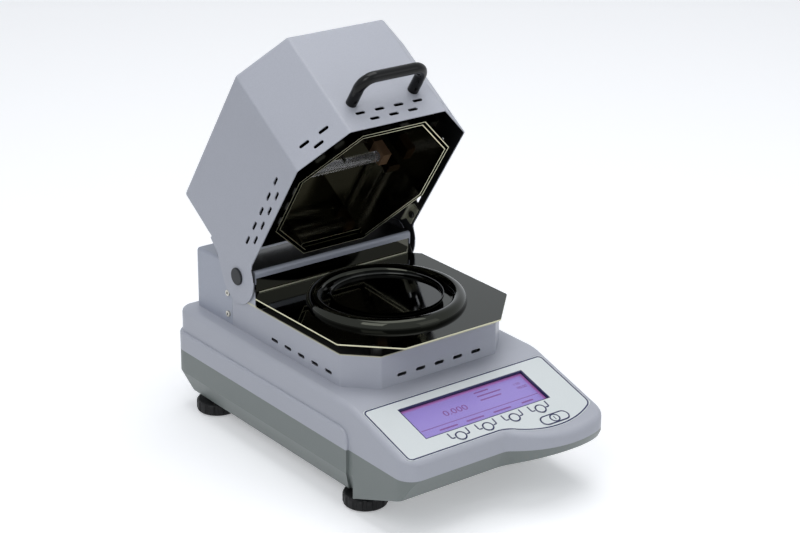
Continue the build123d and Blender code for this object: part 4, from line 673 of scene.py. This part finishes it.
class Pattern:
    """A Geometry Nodes tree with named sizes that grows a mesh from a base mesh."""

    def __init__(self, name: str, sizes: dict[str, float | int | tuple]) -> None:
        """Starts the tree.

        Args:
            name: The tree's name.
            sizes: Each size's name with its value.
        """
        self.tree = bpy.data.node_groups.new(name, "GeometryNodeTree")
        self.graph = Graph(self.tree)
        face = self.tree.interface
        face.new_socket("Geometry", in_out="INPUT", socket_type="NodeSocketGeometry")
        self.sizes = sizes
        self.keys: dict[str, str] = {}
        for label, value in sizes.items():
            kind = "Int" if isinstance(value, int) else "Vector" if isinstance(value, tuple) else "Float"
            socket = face.new_socket(label, in_out="INPUT", socket_type=f"NodeSocket{kind}")
            self.keys[label] = socket.identifier
        face.new_socket("Geometry", in_out="OUTPUT", socket_type="NodeSocketGeometry")
        self.given = self.graph.add("NodeGroupInput").outputs

    def lines(self) -> Socket:
        """Sweeps flat lines along the base mesh's edges, by the Line Width and Ink Thickness.

        Returns:
            The lines.
        """
        graph, given = self.graph, self.given
        curve = graph.add("GeometryNodeMeshToCurve", None, {"Mesh": given["Geometry"]})
        flat = graph.add("GeometryNodeSetCurveNormal", {"mode": "Z_UP"}, {"Curve": curve.outputs[0]})
        sizes = {"Width": given["Line Width"], "Height": given["Ink Thickness"]}
        profile = graph.add("GeometryNodeCurvePrimitiveQuadrilateral", {"mode": "RECTANGLE"}, sizes)
        inputs = {"Curve": flat.outputs[0], "Profile Curve": profile.outputs[0], "Fill Caps": True}
        return graph.add("GeometryNodeCurveToMesh", None, inputs).outputs[0]

    def grow(
        self, base: bpy.types.Mesh, result: Socket, material: bpy.types.Material, place: Matrix
    ) -> bpy.types.Mesh:
        """Closes the tree, runs it on a base mesh and gives the plain mesh.

        Args:
            base: The mesh that the tree starts from.
            result: The geometry that the tree makes.
            material: The material it sets.
            place: The matrix that takes the result to its place.

        Returns:
            The mesh, in the row frame.
        """
        real = self.graph.add("GeometryNodeRealizeInstances", None, {"Geometry": result})
        inputs = {"Geometry": real.outputs[0], "Material": material}
        dressed = self.graph.add("GeometryNodeSetMaterial", None, inputs)
        self.graph.add("NodeGroupOutput", None, {"Geometry": dressed.outputs[0]})
        holder = show(self.tree.name, base)
        modifier = holder.modifiers.new(self.tree.name, "NODES")
        modifier.node_group = self.tree
        for label, value in self.sizes.items():
            modifier[self.keys[label]] = value
        holder.update_tag()
        graph = bpy.context.evaluated_depsgraph_get()
        mesh = bpy.data.meshes.new_from_object(holder.evaluated_get(graph), depsgraph=graph)
        holder.modifiers.remove(modifier)
        bpy.data.objects.remove(holder)
        mesh.transform(place)
        mesh.update()
        return mesh


def path_mesh(name: str, paths: list[list[Point]], closed: bool) -> bpy.types.Mesh:
    """Makes a flat mesh of edges along paths.

    Args:
        name: The mesh's name.
        paths: The paths' points.
        closed: Whether each path comes back to its start.

    Returns:
        The mesh.
    """
    points: list[tuple[float, float, float]] = []
    edges: list[tuple[int, int]] = []
    for path in paths:
        first = len(points)
        points.extend((x, y, 0.0) for x, y in path)
        edges.extend((first + i, first + i + 1) for i in range(len(path) - 1))
        if closed:
            edges.append((len(points) - 1, first))
    mesh = bpy.data.meshes.new(name)
    mesh.from_pydata(points, edges, [])
    return mesh


def ribbon(
    name: str, paths: list[list[Point]], closed: bool, width: float, thick: float, material: bpy.types.Material,
    place: Matrix,
) -> bpy.types.Mesh:
    """Grows flat printed lines along paths.

    Args:
        name: The tree's name.
        paths: The paths' points, in millimetres.
        closed: Whether each path comes back to its start.
        width: The line's width.
        thick: The line's thickness.
        material: The line's material.
        place: The matrix that takes the flat drawing to its place.

    Returns:
        The mesh.
    """
    pattern = Pattern(name, {"Line Width": width, "Ink Thickness": thick})
    return pattern.grow(path_mesh(name, paths, closed), pattern.lines(), material, place)


def arc(centre: Point, radius: float, start: float, end: float, steps: int) -> list[Point]:
    """Points along an arc.

    Args:
        centre: The arc's centre.
        radius: Its radius.
        start: Its first angle in degrees.
        end: Its last angle in degrees.
        steps: How many pieces it has.

    Returns:
        The points.
    """
    turns = [math.radians(start + (end - start) * i / steps) for i in range(steps + 1)]
    return [(centre[0] + radius * math.cos(turn), centre[1] + radius * math.sin(turn)) for turn in turns]


def rounded(corners: list[tuple[float, float, float]], steps: int = 8) -> list[Point]:
    """Points of a closed outline whose corners are rounded.

    Args:
        corners: Each corner's x, y and radius, in order.
        steps: How many pieces each rounding has.

    Returns:
        The points.
    """
    outline: list[Point] = []
    for index, (x, y, radius) in enumerate(corners):
        here = Vector((x, y))
        before = (Vector(corners[index - 1][:2]) - here).normalized()
        after = (Vector(corners[(index + 1) % len(corners)][:2]) - here).normalized()
        half = before.angle(after) / 2
        centre = here + (before + after).normalized() * (radius / math.sin(half))
        first = here + before * (radius / math.tan(half)) - centre
        last = here + after * (radius / math.tan(half)) - centre
        turn = first.angle_signed(last)
        for step in range(steps + 1):
            spoke = first.copy()
            spoke.rotate(Matrix.Rotation(-turn * step / steps, 2))
            outline.append((centre.x + spoke.x, centre.y + spoke.y))
    return outline


def flat_patch(name: str, outlines: list[list[Point]], thick: float, place: Matrix) -> bpy.types.Mesh:
    """Makes thin raised patches from closed outlines.

    Args:
        name: The mesh's name.
        outlines: The outlines' points.
        thick: The patches' thickness.
        place: The matrix that takes the flat drawing to its place.

    Returns:
        The mesh.
    """
    shape = bmesh.new()
    for outline in outlines:
        face = shape.faces.new([shape.verts.new((x, y, 0.0)) for x, y in outline])
        grown = bmesh.ops.extrude_face_region(shape, geom=[face])
        lifted = [item for item in grown["geom"] if isinstance(item, bmesh.types.BMVert)]
        bmesh.ops.translate(shape, vec=(0.0, 0.0, thick), verts=lifted)
    bmesh.ops.recalc_face_normals(shape, faces=shape.faces)
    return plain_mesh(name, shape, place)


def pill(x: float, y: float, length: float, height: float) -> list[Point]:
    """Outline of a bar with round ends, centred on a point."""
    radius = height / 2
    reach = length / 2 - radius
    return arc((x + reach, y), radius, -90, 90, 8) + arc((x - reach, y), radius, 90, 270, 8)


def numerals(name: str, text: str, size: Point, bold: float, place: Matrix) -> bpy.types.Mesh:
    """Makes plain numbers as a mesh.

    Args:
        name: The mesh's name.
        text: The numbers.
        size: The width and height that they fill.
        bold: How far their strokes are widened.
        place: The matrix from the text's own plane, in millimetres, to the row frame.

    Returns:
        The mesh.
    """
    curve = bpy.data.curves.new(name, "FONT")
    curve.body = text
    curve.size = size[1]
    curve.offset = bold
    curve.extrude = 0.02
    holder = show(name, curve)
    graph = bpy.context.evaluated_depsgraph_get()
    mesh = bpy.data.meshes.new_from_object(holder.evaluated_get(graph), depsgraph=graph)
    bpy.data.objects.remove(holder)
    across = [corner.co.x for corner in mesh.vertices]
    along = [corner.co.y for corner in mesh.vertices]
    wide, high = max(across) - min(across), max(along) - min(along)
    fit = Matrix.Diagonal((size[0] / wide, size[1] / high, 1.0, 1.0))
    mesh.transform(place @ fit @ Matrix.Translation((-min(across), -min(along), 0.0)))
    return mesh


def sheet_bar(name: str, low: tuple[float, float, float], high: tuple[float, float, float], round_by: float,
              place: Matrix) -> bpy.types.Mesh:
    """Makes a flat bar of sheet with softly rounded edges.

    Args:
        name: The mesh's name.
        low: Its lowest corner.
        high: Its highest corner.
        round_by: Its edges' radius.
        place: The matrix that takes it to the row frame.

    Returns:
        The mesh.
    """
    shape = bmesh.new()
    bmesh.ops.create_cube(shape, size=1.0)
    middle = (Vector(low) + Vector(high)) / 2
    size = Vector(high) - Vector(low)
    stretch = Matrix.Translation(middle) @ Matrix.Diagonal((*size, 1.0))
    bmesh.ops.transform(shape, matrix=stretch, verts=shape.verts)
    bmesh.ops.bevel(shape, geom=shape.edges, offset=round_by, segments=3, profile=0.5, affect="EDGES")
    return plain_mesh(name, shape, place)


# Sub-assemblies


@dataclass
class Console:
    """Housing, feet, boards and weighing parts."""

    feet: tuple[str, ...] = ("front_left", "front_right", "rear_left", "rear_right")

    def dress(self, shop: Workshop) -> None:
        """Gives the console's nodes their finishes."""
        shop.coat(UPPER_PLASTIC, "upper_housing")
        shop.coat(LOWER_PLASTIC, "lower_housing")
        shop.coat(SCREW_STEEL, "housing_screws")
        shop.coat(KNOB_BLACK, *(f"foot_{corner}" for corner in self.feet))
        shop.coat(SCREW_STEEL, *(f"foot_stud_{corner}" for corner in self.feet))
        shop.coat(BRASS, "foot_inserts")
        shop.coat(CELL_METAL, "load_cell", "cell_pedestal")
        shop.coat(STEM_STEEL, "weigh_stem", "pan_carrier")
        shop.coat(SPACER_SHADE, "lower_spacers", "plate_spacers")
        shop.coat(BOARD_GREEN, "main_board", "power_board", "display_board", "keypad_board")
        shop.coat(COPPER, "transformer")


@dataclass
class Keypad:
    """Printed label, soft keys and the oval key. Millimetres, measured down the panel."""

    line_width: float = 1.35
    ink: float = 0.05
    lift: float = 0.02
    half_width: float = 95.75
    top: float = 13.95
    bottom: float = 80.05
    nose_x: float = 52.0
    nose_down: float = 14.0
    nose_radius: float = 81.15
    corner: float = 4.0
    nose_trim: Point = (4.0, 7.0)
    kink_reach: float = 10.0
    side_reach: float = 5.0
    first_x: float = -36.9
    pitch: float = 28.7
    count: int = 4
    key_down: float = 72.2
    key_radius: float = 5.2
    key_proud: float = 0.3
    oval_x: float = 53.0
    oval_down: float = 86.8
    oval_length: float = 30.0
    oval_width: float = 11.4
    ring_inset: float = 0.55
    mark_radius: float = 4.3
    left_tip: Point = (-9.6, 6.9)
    right_tip: Point = (9.7, 7.2)
    mark_bend: tuple[Point, ...] = ((9.5, 1.6), (9.4, 0.0), (7.8, 0.0))
    mark_end: float = 5.9
    bar_half: float = 2.2
    bar_width: float = 0.8

    def label_line(self) -> list[Point]:
        """Points of the navy line that frames the label.

        Returns:
            The closed outline.
        """
        right_drop = math.sqrt(self.nose_radius**2 - (self.half_width - self.nose_x) ** 2)
        kink = math.sqrt(self.nose_radius**2 - (self.bottom - self.nose_down) ** 2)
        start = math.degrees(math.atan2(-right_drop, self.half_width - self.nose_x))
        end = math.degrees(math.atan2(-(self.bottom - self.nose_down), -kink))
        first, last = start - self.nose_trim[0], end + self.nose_trim[1]
        nose = arc((self.nose_x, -self.nose_down), self.nose_radius, first, last, 40)
        corners = rounded([
            (self.half_width, -self.nose_down - right_drop, self.corner),
            (self.half_width, -self.top, self.corner),
            (-self.half_width, -self.top, self.corner),
            (-self.half_width, -self.bottom, self.corner),
        ])
        per_corner = len(corners) // 4
        middle = Vector((self.nose_x - kink, -self.bottom))
        turn = bezier(middle - Vector((self.kink_reach, 0.0)), middle, Vector(nose[-1]), 10)
        middle = Vector((self.half_width, -self.nose_down - right_drop))
        lower_right = bezier(Vector(nose[0]), middle, middle + Vector((0.0, self.side_reach)), 10)
        return corners[per_corner:] + turn + nose[::-1] + lower_right

    def on_panel(self, lift: float) -> Matrix:
        """Frame on the panel's surface, lifted off it."""
        return panel_matrix() @ Matrix.Translation((0.0, 0.0, lift))

    def build(self, shop: Workshop) -> None:
        """Dresses the label and keys and prints on them."""
        shop.coat(LABEL_FILM, "keypad_overlay")
        shop.coat(KEY_FILM, "menu_key", *(f"soft_key_{i + 1}" for i in range(self.count)))
        navy = shop.material(NAVY_INK)
        place = self.on_panel(self.lift)
        mesh = ribbon("label_frame", [self.label_line()], True, self.line_width, self.ink, navy, place)
        shop.piece("label_frame", mesh, NAVY_INK, "console")
        shop.piece("key_marks", self.key_marks(navy), NAVY_INK, "console")
        for index in range(self.count):
            centre = (self.first_x + self.pitch * index, -self.key_down)
            outline = arc(centre, self.key_radius - self.ring_inset, 0, 360, 48)[:-1]
            self.print_ring(shop, f"soft_key_{index + 1}", [outline])
        here = (self.oval_x, -self.oval_down)
        inner = pill(*here, self.oval_length - 2 * self.ring_inset, self.oval_width - 2 * self.ring_inset)
        self.print_ring(shop, "menu_key", [inner, arc(here, self.mark_radius, 0, 360, 40)[:-1]])
        bar = [[(here[0], here[1] - self.bar_half), (here[0], here[1] + self.bar_half)]]
        level = self.on_panel(self.key_proud + self.lift)
        mark = ribbon("oval_key_bar", bar, False, self.bar_width, self.ink, navy, level)
        shop.piece("oval_key_bar", mark, NAVY_INK, "menu_key")

    def print_ring(self, shop: Workshop, body: str, outlines: list[list[Point]]) -> None:
        """Prints closed lines on a key."""
        place = self.on_panel(self.key_proud + self.lift)
        navy = shop.material(NAVY_INK)
        mesh = ribbon(f"{body}_ring", outlines, True, self.line_width, self.ink, navy, place)
        shop.piece(f"{body}_ring", mesh, NAVY_INK, body)

    def key_marks(self, navy: bpy.types.Material) -> bpy.types.Mesh:
        """Grows the pair of bent lines beside each round key.

        Args:
            navy: The ink.

        Returns:
            The mesh.
        """
        marks = []
        for side, tip in ((-1.0, self.left_tip), (1.0, self.right_tip)):
            bend = bezier(*(Vector((side * x, y)) for x, y in self.mark_bend), 6)
            marks.append([tip] + bend + [(side * self.mark_end, 0.0)])
        sizes = {
            "Count": self.count,
            "Pitch": (self.pitch, 0.0, 0.0),
            "Start": (self.first_x, -self.key_down, 0.0),
            "Line Width": self.line_width,
            "Ink Thickness": self.ink,
        }
        pattern = Pattern("key_marks", sizes)
        graph, given = pattern.graph, pattern.given
        inputs = {"Count": given["Count"], "Start Location": given["Start"], "Offset": given["Pitch"]}
        row = graph.add("GeometryNodeMeshLine", {"mode": "OFFSET"}, inputs)
        inputs = {"Points": row.outputs[0], "Instance": pattern.lines()}
        placed = graph.add("GeometryNodeInstanceOnPoints", None, inputs)
        base = path_mesh("key_mark_paths", marks, False)
        return pattern.grow(base, placed.outputs[0], navy, self.on_panel(self.lift))


def bezier(start: Vector, middle: Vector, end: Vector, steps: int) -> list[Point]:
    """Points of a smooth turn from one point to another by way of a corner.

    Args:
        start: Where it starts.
        middle: The corner that it rounds.
        end: Where it ends.
        steps: How many pieces it has.

    Returns:
        The points.
    """
    points = []
    for step in range(steps + 1):
        t = step / steps
        point = start * (1 - t) ** 2 + middle * 2 * t * (1 - t) + end * t**2
        points.append((point.x, point.y))
    return points


@dataclass
class Display:
    """Screen with a plain reading. Millimetres, measured down the panel."""

    depth: float = 4.2
    ink: float = 0.03
    digits_size: Point = (25.1, 6.4)
    opening: tuple[float, float, float, float] = (-66.7, 66.7, 23.4, 63.2)
    recess: float = 3.0
    wall_shade_width: float = 1.1
    digits_left: float = -29.9
    digits_foot: float = 43.0
    divider_down: float = 50.7
    divider: tuple[float, float] = (-61.4, 64.6)
    rows: tuple[float, ...] = (28.4, 33.2, 38.2)
    words: tuple[tuple[float, float], ...] = ((11.2, 27.0), (11.2, 37.0), (11.2, 34.0))
    values: tuple[str, ...] = ("", "110", "00.00")
    captions: tuple[tuple[float, float], ...] = ((-46.0, -26.6), (-17.4, 1.4), (11.7, 31.0), (42.7, 55.6))
    caption_down: float = 55.6

    def build(self, shop: Workshop) -> None:
        """Dresses the screen and draws its reading."""
        shop.coat(SCREEN, "lcd_module")
        shop.coat(WINDOW, "display_lens")
        place = panel_matrix() @ Matrix.Translation((0.0, 0.0, -self.depth + self.ink))
        pills = [pill((a + b) / 2, -down, b - a, 1.5) for (a, b), down in zip(self.words, self.rows)]
        pills += [pill((a + b) / 2, -self.caption_down, b - a, 1.7) for a, b in self.captions]
        mesh = flat_patch("screen_bars", pills, self.ink, place)
        shop.piece("screen_bars", mesh, SCREEN_INK, "console")
        line = [[(self.divider[0], -self.divider_down), (self.divider[1], -self.divider_down)]]
        mesh = ribbon("screen_divider", line, False, 0.7, self.ink, shop.material(SCREEN_INK), place)
        shop.piece("screen_divider", mesh, SCREEN_INK, "console")
        # Painted shade: navy lining on the walls of the display's recess, standing in for the recess's shade
        # and the print's navy border.
        left, right, top, bottom = self.opening
        edge = [[(left, -top), (right, -top), (right, -bottom), (left, -bottom)]]
        level = panel_matrix() @ Matrix.Translation((0.0, 0.0, 0.06 - self.recess / 2))
        mesh = ribbon("screen_wall_shade", edge, True, self.wall_shade_width, self.recess, shop.material(NAVY_INK), level)
        shop.piece("screen_wall_shade", mesh, NAVY_INK, "console")
        spot = place @ Matrix.Translation((self.digits_left, -self.digits_foot, 0.0))
        reading = numerals("reading_digits", "0.000", self.digits_size, 0.03, spot)
        shop.piece("reading_digits", reading, SCREEN_INK, "console")
        for index, text in enumerate(self.values):
            if text:
                spot = place @ Matrix.Translation((52.0, -self.rows[index] - 1.3, 0.0))
                mesh = numerals(f"screen_value_{index}", text, (2.1 * len(text), 3.0), 0.02, spot)
                shop.piece(f"screen_value_{index}", mesh, SCREEN_INK, "console")


@dataclass
class Chamber:
    """Skirt, plate, ring, pan and rear cover."""

    screw_x: float = 88.7
    screw_y: float = 118.8
    screw_z: tuple[float, float] = (108.0, 128.2)
    cross_length: float = 3.2
    cross_width: float = 0.75
    cross_depth: float = 0.12
    edge_half: float = 81.8
    edge_y: tuple[float, float] = (76.9, 77.7)
    edge_z: tuple[float, float] = (140.6, 141.7)

    def build(self, shop: Workshop) -> None:
        """Dresses the chamber and adds the crosses of the cover screws."""
        shop.coat(SKIRT_PAINT, "chamber_skirt")
        shop.coat(COVER_PAINT, "rear_cover")
        shop.coat(PLATE_MIRROR, "chamber_plate")
        shop.coat(WALL_MIRROR, "rear_wall_panel")
        shop.coat(RING_MIRROR, "draft_ring")
        shop.coat(PAN_METAL, "sample_pan")
        self.add_plate_highlight(shop)
        shop.coat(INSULATION_AND_SHADE, "insulation_plate")
        shop.coat(SCREW_STEEL, "rear_cover_screws")
        spots = [(side * self.screw_x, self.screw_y, z) for side in (-1, 1) for z in self.screw_z]
        mesh = self.crosses("cover_screw_crosses", spots, shop.material(CROSS_RECESS_SHADE), Matrix.Scale(MM, 4))
        shop.piece("cover_screw_crosses", mesh, CROSS_RECESS_SHADE, "console")

    def add_plate_highlight(self, shop: Workshop) -> None:
        """Makes a thin pale strip along the back of the chamber plate, a painted highlight for the bright line
        along its back edge.
        """
        low = (-self.edge_half, self.edge_y[0], self.edge_z[0])
        high = (self.edge_half, self.edge_y[1], self.edge_z[1])
        mesh = sheet_bar("plate_back_highlight", low, high, 0.25, Matrix.Scale(MM, 4))
        shop.piece("plate_back_highlight", mesh, EDGE_HIGHLIGHT, "console")

    def crosses(
        self, name: str, spots: list[tuple], material: bpy.types.Material, place: Matrix
    ) -> bpy.types.Mesh:
        """Grows the cross recess of each screw head as dark bars, square to the x axis: painted shade in the
        recess.

        Args:
            name: The tree's name.
            spots: The screw heads' places.
            material: The recess's material.
            place: The matrix that takes the spots to the row frame.

        Returns:
            The mesh.
        """
        sizes = {"Length": self.cross_length, "Width": self.cross_width, "Depth": self.cross_depth}
        pattern = Pattern(name, sizes)
        graph, given = pattern.graph, pattern.given
        both = graph.add("GeometryNodeJoinGeometry")
        for first, second in (("Length", "Width"), ("Width", "Length")):
            size = graph.add(
                "ShaderNodeCombineXYZ", None, {"X": given["Depth"], "Y": given[first], "Z": given[second]}
            )
            bar = graph.add("GeometryNodeMeshCube", None, {"Size": size.outputs[0]})
            graph.feed(both, 0, bar.outputs[0])
        turned = graph.add("GeometryNodeTransform", None, {"Geometry": both.outputs[0]})
        graph.feed(turned, "Rotation", (CROSS_TURN, 0.0, 0.0))
        inputs = {"Points": given["Geometry"], "Instance": turned.outputs[0]}
        placed = graph.add("GeometryNodeInstanceOnPoints", None, inputs)
        base = bpy.data.meshes.new(name)
        base.from_pydata(spots, [], [])
        return pattern.grow(base, placed.outputs[0], material, place)


@dataclass
class Hood:
    """Folded hood with its liners, lamps, handle and hinge."""

    stay_screw_x: float = 85.6
    stay_screw_y: float = 65.7
    stay_screw_z: float = 146.65
    shade_sheet_half: float = 88.4
    shade_sheet_y: tuple[float, float] = (103.0, 104.0)
    shade_sheet_z: tuple[float, float] = (176.0, 199.0)

    def build(self, shop: Workshop, chamber: Chamber) -> None:
        """Dresses the hood and adds the crosses of the stay screws."""
        shop.coat(HOOD_PAINT, "hood_shell")
        shop.coat(SHIELD_STEEL, "heat_shield")
        shop.coat(REFLECTOR_MIRROR, "reflector")
        shop.coat(STEM_STEEL, "liner_standoffs", "temperature_probe", "hinge_pins")
        shop.coat(BRACKET_STEEL, "shield_brackets")
        shop.coat(STAY_STEEL, "side_stays")
        shop.coat(QUARTZ, "lamps")
        shop.coat(CERAMIC, "lamp_holders")
        shop.coat(HANDLE_BLACK, "handle")
        shop.coat(SCREW_STEEL, "handle_screws")
        shop.coat(BUSH_WHITE, "hinge_bushes")
        shop.coat(CAP_BLACK, "hinge_caps")
        spots = [(side * self.stay_screw_x, self.stay_screw_y, self.stay_screw_z) for side in (-1, 1)]
        mesh = chamber.crosses("stay_screw_crosses", spots, shop.material(CROSS_RECESS_SHADE), hood_matrix())
        shop.piece("stay_screw_crosses", mesh, CROSS_RECESS_SHADE, "hood")
        self.fit_shade_sheet(shop)

    def fit_shade_sheet(self, shop: Workshop) -> None:
        """Makes the sheet that carries the hood's back down towards the rear cover, keeping light from behind
        off the cover's top so it lies in shade; its inner face is black, painted shade.
        """
        low = (-self.shade_sheet_half, self.shade_sheet_y[0], self.shade_sheet_z[0])
        high = (self.shade_sheet_half, self.shade_sheet_y[1], self.shade_sheet_z[1])
        mesh = sheet_bar("hood_rear_shade_sheet", low, high, 0.3, hood_matrix())
        shop.piece("hood_rear_shade_sheet", mesh, HOOD_PAINT, "hood")


@dataclass
class ConnectorPanel:
    """Mains inlet, switch and data port at the back."""

    def build(self, shop: Workshop) -> None:
        """Gives the connectors their finishes."""
        shop.coat(SOCKET_BLACK, "power_inlet", "switch_frame")
        shop.coat(HANDLE_BLACK, "power_rocker")
        shop.coat(PORT_STEEL, "data_connector")


@dataclass
class Studio:
    """Pale floor, soft boxes and pale surroundings."""

    floor_half: float = 6.0
    floor_tone: Colour = paint_tone(244, 245, 247)
    sky_tone: Colour = paint_tone(240, 244, 250)
    fill: float = 0.36
    floor_glow: float = 0.36
    aim: tuple[float, float, float] = (0.0, 0.0, 0.15)

    def build(self) -> None:
        """Makes the floor, the lamps and the world."""
        self.floor()
        self.world()
        self.lamp("key_box", (-1.5, -0.9, 1.9), 1.2, 13.0)
        self.lamp("top_box", (0.2, 0.0, 2.2), 1.6, 21.0)
        self.lamp("front_box", (0.9, -1.9, 1.0), 1.2, 2.5)

    def floor(self) -> None:
        """Makes the floor."""
        shape = bmesh.new()
        bmesh.ops.create_grid(shape, x_segments=1, y_segments=1, size=self.floor_half)
        mesh = plain_mesh("floor", shape)
        material = bpy.data.materials.new("floor_white")
        material.use_nodes = True
        graph = Graph(material.node_tree)
        shader = material.node_tree.nodes["Principled BSDF"]
        graph.feed(shader, "Base Color", (*self.floor_tone, 1.0))
        graph.feed(shader, "Roughness", 0.75)
        graph.feed(shader, "Emission Color", (*self.floor_tone, 1.0))
        graph.feed(shader, "Emission Strength", graph.math("MULTIPLY", graph.seen(), self.floor_glow))
        mesh.materials.append(material)
        show("floor", mesh)

    def world(self) -> None:
        """Lights the scene plainly and shows pale surroundings to the camera and to gloss."""
        world = bpy.data.worlds.new("pale_room")
        bpy.context.scene.world = world
        world.use_nodes = True
        graph = Graph(world.node_tree)
        ground = world.node_tree.nodes["Background"]
        graph.feed(ground, "Color", (*self.sky_tone, 1.0))
        graph.feed(ground, "Strength", graph.span(graph.seen(), 0.0, 1.0, self.fill, 1.0))

    def lamp(self, name: str, place: tuple[float, float, float], size: float, power: float) -> None:
        """Makes a square soft box aimed at the object."""
        light = bpy.data.lights.new(name, "AREA")
        light.size = size
        light.energy = power
        item = show(name, light)
        item.location = place
        aim = Vector(self.aim) - Vector(place)
        item.rotation_euler = aim.to_track_quat("-Z", "Y").to_euler()


@dataclass
class View:
    """Camera at the photograph's viewing angle."""

    place: tuple[float, float, float] = (-1.0399, -1.3720, 0.8577)
    target: tuple[float, float, float] = (0.0, -0.015, 0.1756)
    roll: float = 0.46
    focal: float = 96.13
    sensor: float = 36.0
    shift: Point = (0.00336, 0.0003)

    def build(self) -> None:
        """Makes the camera and chooses how tones are shown."""
        camera = bpy.data.cameras.new("photo_view")
        camera.sensor_fit = "HORIZONTAL"
        camera.sensor_width = self.sensor
        camera.lens = self.focal
        camera.shift_x, camera.shift_y = self.shift
        forward = (Vector(self.target) - Vector(self.place)).normalized()
        right = forward.cross(Vector((0.0, 0.0, 1.0))).normalized()
        up = right.cross(forward)
        turn = math.radians(self.roll)
        across = right * math.cos(turn) + up * math.sin(turn)
        upward = up * math.cos(turn) - right * math.sin(turn)
        item = show("photo_view", camera)
        axes = Matrix((across, upward, -forward)).transposed().to_4x4()
        item.matrix_world = Matrix.Translation(self.place) @ axes
        bpy.context.scene.camera = item
        bpy.context.scene.view_settings.view_transform = "Standard"


def main() -> None:
    """Builds the sub-assemblies, the studio and the camera in order."""
    logging.basicConfig(level=logging.INFO, format="%(name)s: %(message)s")
    View().build()
    shop = Workshop()
    Console().dress(shop)
    Keypad().build(shop)
    Display().build(shop)
    chamber = Chamber()
    chamber.build(shop)
    Hood().build(shop, chamber)
    ConnectorPanel().build(shop)
    Studio().build()


if __name__ == "__main__":
    main()
